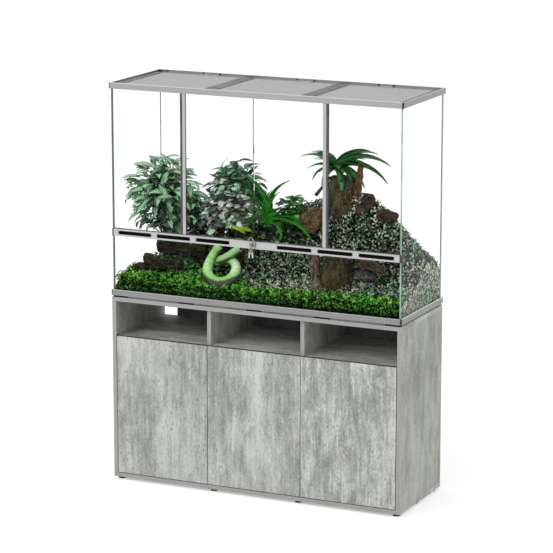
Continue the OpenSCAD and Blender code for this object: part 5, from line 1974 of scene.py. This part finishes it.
@dataclass
class GroundLeaves:
    """The carpets of small leaves: fresh ones along the front, pale ones over the bank, ivy on the mound."""

    terrain: Terrain
    maker: LeafMaker
    wardrobe: Wardrobe
    seed: int = 7
    # leaves below this height fade towards dark over this depth: painted shade near the tank's floor
    shade_painted_below: float = 0.770
    shade_painted_depth: float = 0.035
    pane_x: Span = (-0.586, 0.586)
    pane_y: Span = (-0.188, 0.188)
    front_y: float = -0.1915
    back_y: float = 0.1915
    left_x: float = -0.5884
    right_x: float = 0.5888

    def _lie(self, rng: np.random.Generator, feet: np.ndarray, normal: np.ndarray, size: Span,
             bright: float, spread: float) -> Batch:
        """Lays small leaves at places, each leaning its own way from the surface's normal.

        Args:
            rng: the source of the unevenness.
            feet: the places.
            normal: the surface's normals there.
            size: smallest and largest leaf.
            bright: the share of bright leaves.
            spread: how far the leaves lean.

        Returns:
            The leaves.
        """
        count = len(feet)
        upper = unit(normal + rng.normal(0.0, spread, (count, 3)))
        ahead = unit(np.cross(upper, rng.normal(0.0, 1.0, (count, 3))))
        sizes = np.repeat(rng.uniform(*size, count)[:, None], 3, axis=1)
        return Batch(self.maker.small(), feet, ahead, upper, sizes, two_tones(rng, count, bright))

    def _strew(self, rng: np.random.Generator, span: tuple[float, float, float, float], count: int,
               size: Span, lift: Span, bright: float) -> Batch:
        """Strews small leaves over the soil, with painted shade on the low ones, those between the clumps and
        those near the tank's floor.

        Args:
            rng: the source of the unevenness.
            span: lowest and highest x, then lowest and highest y.
            count: how many leaves.
            size: smallest and largest leaf.
            lift: lowest and highest height over the soil.
            bright: the share of bright leaves.

        Returns:
            The leaves.
        """
        x = rng.uniform(span[0], span[1], count)
        y = rng.uniform(span[2], span[3], count)
        clump = 0.5 + 0.5 * np.sin(x * 131 + 2.0 * np.sin(y * 97)) * np.cos(y * 163 + x * 37)
        rise = lift[0] + (lift[1] - lift[0]) * rng.random(count) ** 0.7 * (0.45 + 0.55 * clump)
        normal = self.terrain.normal(x, y)
        feet = np.stack([x, y, self.terrain.height(x, y)], axis=1) + normal * rise[:, None]
        leaves = self._lie(rng, feet, normal, size, bright, 0.8)
        # painted shade: low leaves, leaves between the clumps and leaves near the tank's floor are darker
        height = np.clip(rise / lift[1] * 1.6, 0.3, 1.0)
        leaves.tones *= np.clip(0.10 + 1.45 * clump ** 1.3 * height, 0.0, 1.0)
        leaves.tones *= np.clip((feet[:, 2] - self.shade_painted_below) / self.shade_painted_depth, 0.08, 1.0)
        return leaves

    def _line(self, rng: np.random.Generator, along: Span, at: float, upright: bool, count: int,
              size: Span, bright: float, least: float) -> Batch:
        """Lays small leaves against a pane, from the floor up to the soil's surface, with painted shade
        towards the floor.

        Args:
            rng: the source of the unevenness.
            along: the lowest and highest place along the pane.
            at: the pane's place on the other level axis.
            upright: true for a pane that faces along x.
            count: how many leaves.
            size: smallest and largest leaf.
            bright: the share of bright leaves.
            least: the share of its tone that a leaf keeps at the floor, where its painted shade is deepest.

        Returns:
            The leaves.
        """
        run = rng.uniform(along[0], along[1], count)
        other = np.full(count, at)
        x, y = (other, run) if upright else (run, other)
        low = self.terrain.floor + 0.006
        z = low + (self.terrain.height(x, y) - low) * rng.random(count)
        way = np.zeros((count, 3))
        way[:, 0 if upright else 1] = math.copysign(1.0, at)
        leaves = self._lie(rng, np.stack([x, y, z], axis=1), way, size, bright, 0.05)
        leaves.sizes = leaves.sizes * np.array([1.0, 1.0, 0.4])
        # painted shade: leaves darker towards the floor, down to the share least
        leaves.tones *= np.clip((1.2 * (z - low) / (self.terrain.height(x, y) - low)) ** 1.6, least, 1.0)
        return leaves

    def _piece(self, name: str, skin: LeafSkin, batches: Iterable[Batch], node: str = "") -> None:
        """Makes one carpet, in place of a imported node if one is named.

        Args:
            name: the carpet's name.
            skin: its finish.
            batches: its leaves.
            node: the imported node.
        """
        piece = Thicket(name, batches).build()
        self.wardrobe.dress(skin, piece)
        finish_piece(piece, name, "root")
        if node:
            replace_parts(piece, node)

    def build(self) -> None:
        """Makes the carpets."""
        rng = np.random.default_rng(self.seed)
        fresh, dark, pale, side, ivy = (LeafSkin(name, deep, tone, specular=0.03) for name, deep, tone in (
            ("fresh_small_leaf", (0.001, 0.006, 0.001), (0.360, 0.920, 0.130)),
            ("shaded_small_leaf", (0.001, 0.003, 0.001), (0.110, 0.340, 0.050)),
            ("pale_small_leaf", (0.002, 0.008, 0.003), (0.930, 1.000, 0.740)),
            ("pressed_small_leaf", (0.026, 0.025, 0.018), (0.860, 0.910, 0.740)),
            ("mound_ivy", (0.001, 0.006, 0.002), (0.460, 0.800, 0.300))))
        self._piece("ground_cover_leaves", fresh, (
            self._strew(rng, (-0.586, -0.060, -0.190, -0.085), 7500, (0.008, 0.015), (0.002, 0.034), 0.60),),
            "ground_cover")
        self._piece("ground_cover_edge_leaves", fresh, (
            self._strew(rng, (-0.060, 0.586, -0.190, -0.138), 6500, (0.008, 0.015), (0.002, 0.030), 0.60),
            self._strew(rng, (-0.588, -0.430, -0.190, -0.050), 3000, (0.009, 0.016), (0.008, 0.058), 0.55)),
            "ground_cover")
        self._piece("soil_edge_leaves", dark, (
            self._line(rng, self.pane_x, self.front_y, False, 6500, (0.009, 0.015), 0.30, 0.02),))
        self._piece("back_edge_leaves", dark, (
            self._line(rng, self.pane_x, self.back_y, False, 7500, (0.011, 0.019), 0.45, 0.3),))
        self._piece("creeper_leaves", pale, (
            self._strew(rng, (-0.176, 0.205, -0.095, 0.190), 8750, (0.008, 0.014), (0.002, 0.028), 0.58),),
            "creeper_bank")
        self._piece("creeper_slope_leaves", pale, (
            self._strew(rng, (0.205, 0.586, -0.095, 0.190), 8750, (0.008, 0.014), (0.002, 0.028), 0.58),),
            "creeper_bank")
        self._piece("creeper_front_leaves", pale, (
            self._strew(rng, (-0.060, 0.586, -0.150, -0.090), 4000, (0.008, 0.015), (0.002, 0.034), 0.62),),
            "creeper_bank")
        self._piece("pane_side_leaves", side, (
            self._line(rng, self.pane_y, self.right_x, True, 5000, (0.009, 0.018), 0.44, 0.8),))
        self._piece("mound_ivy_leaves", ivy, (
            self._strew(rng, (-0.586, -0.150, -0.100, 0.190), 7500, (0.009, 0.016), (0.002, 0.030), 0.42),
            self._line(rng, self.pane_y, self.left_x, True, 1400, (0.010, 0.017), 0.4, 0.4)))


def main() -> None:
    """Builds the scene in order."""
    logging.basicConfig(level=logging.INFO, format="%(message)s")
    Studio().build()
    wardrobe = Wardrobe()
    Cabinet().dress(wardrobe)
    Tank().dress(wardrobe)
    Trim(wardrobe).build()
    terrain, maker = Terrain(), LeafMaker()
    wardrobe.dress_nodes(Rugged("soil", (0.003, 0.006, 0.002), (0.024, 0.040, 0.013)), "substrate")
    GroundLeaves(terrain, maker, wardrobe).build()
    Planting(terrain, maker, wardrobe).build()
    Hardscape(wardrobe).build()
    Snake(wardrobe).build()


if __name__ == "__main__":
    main()
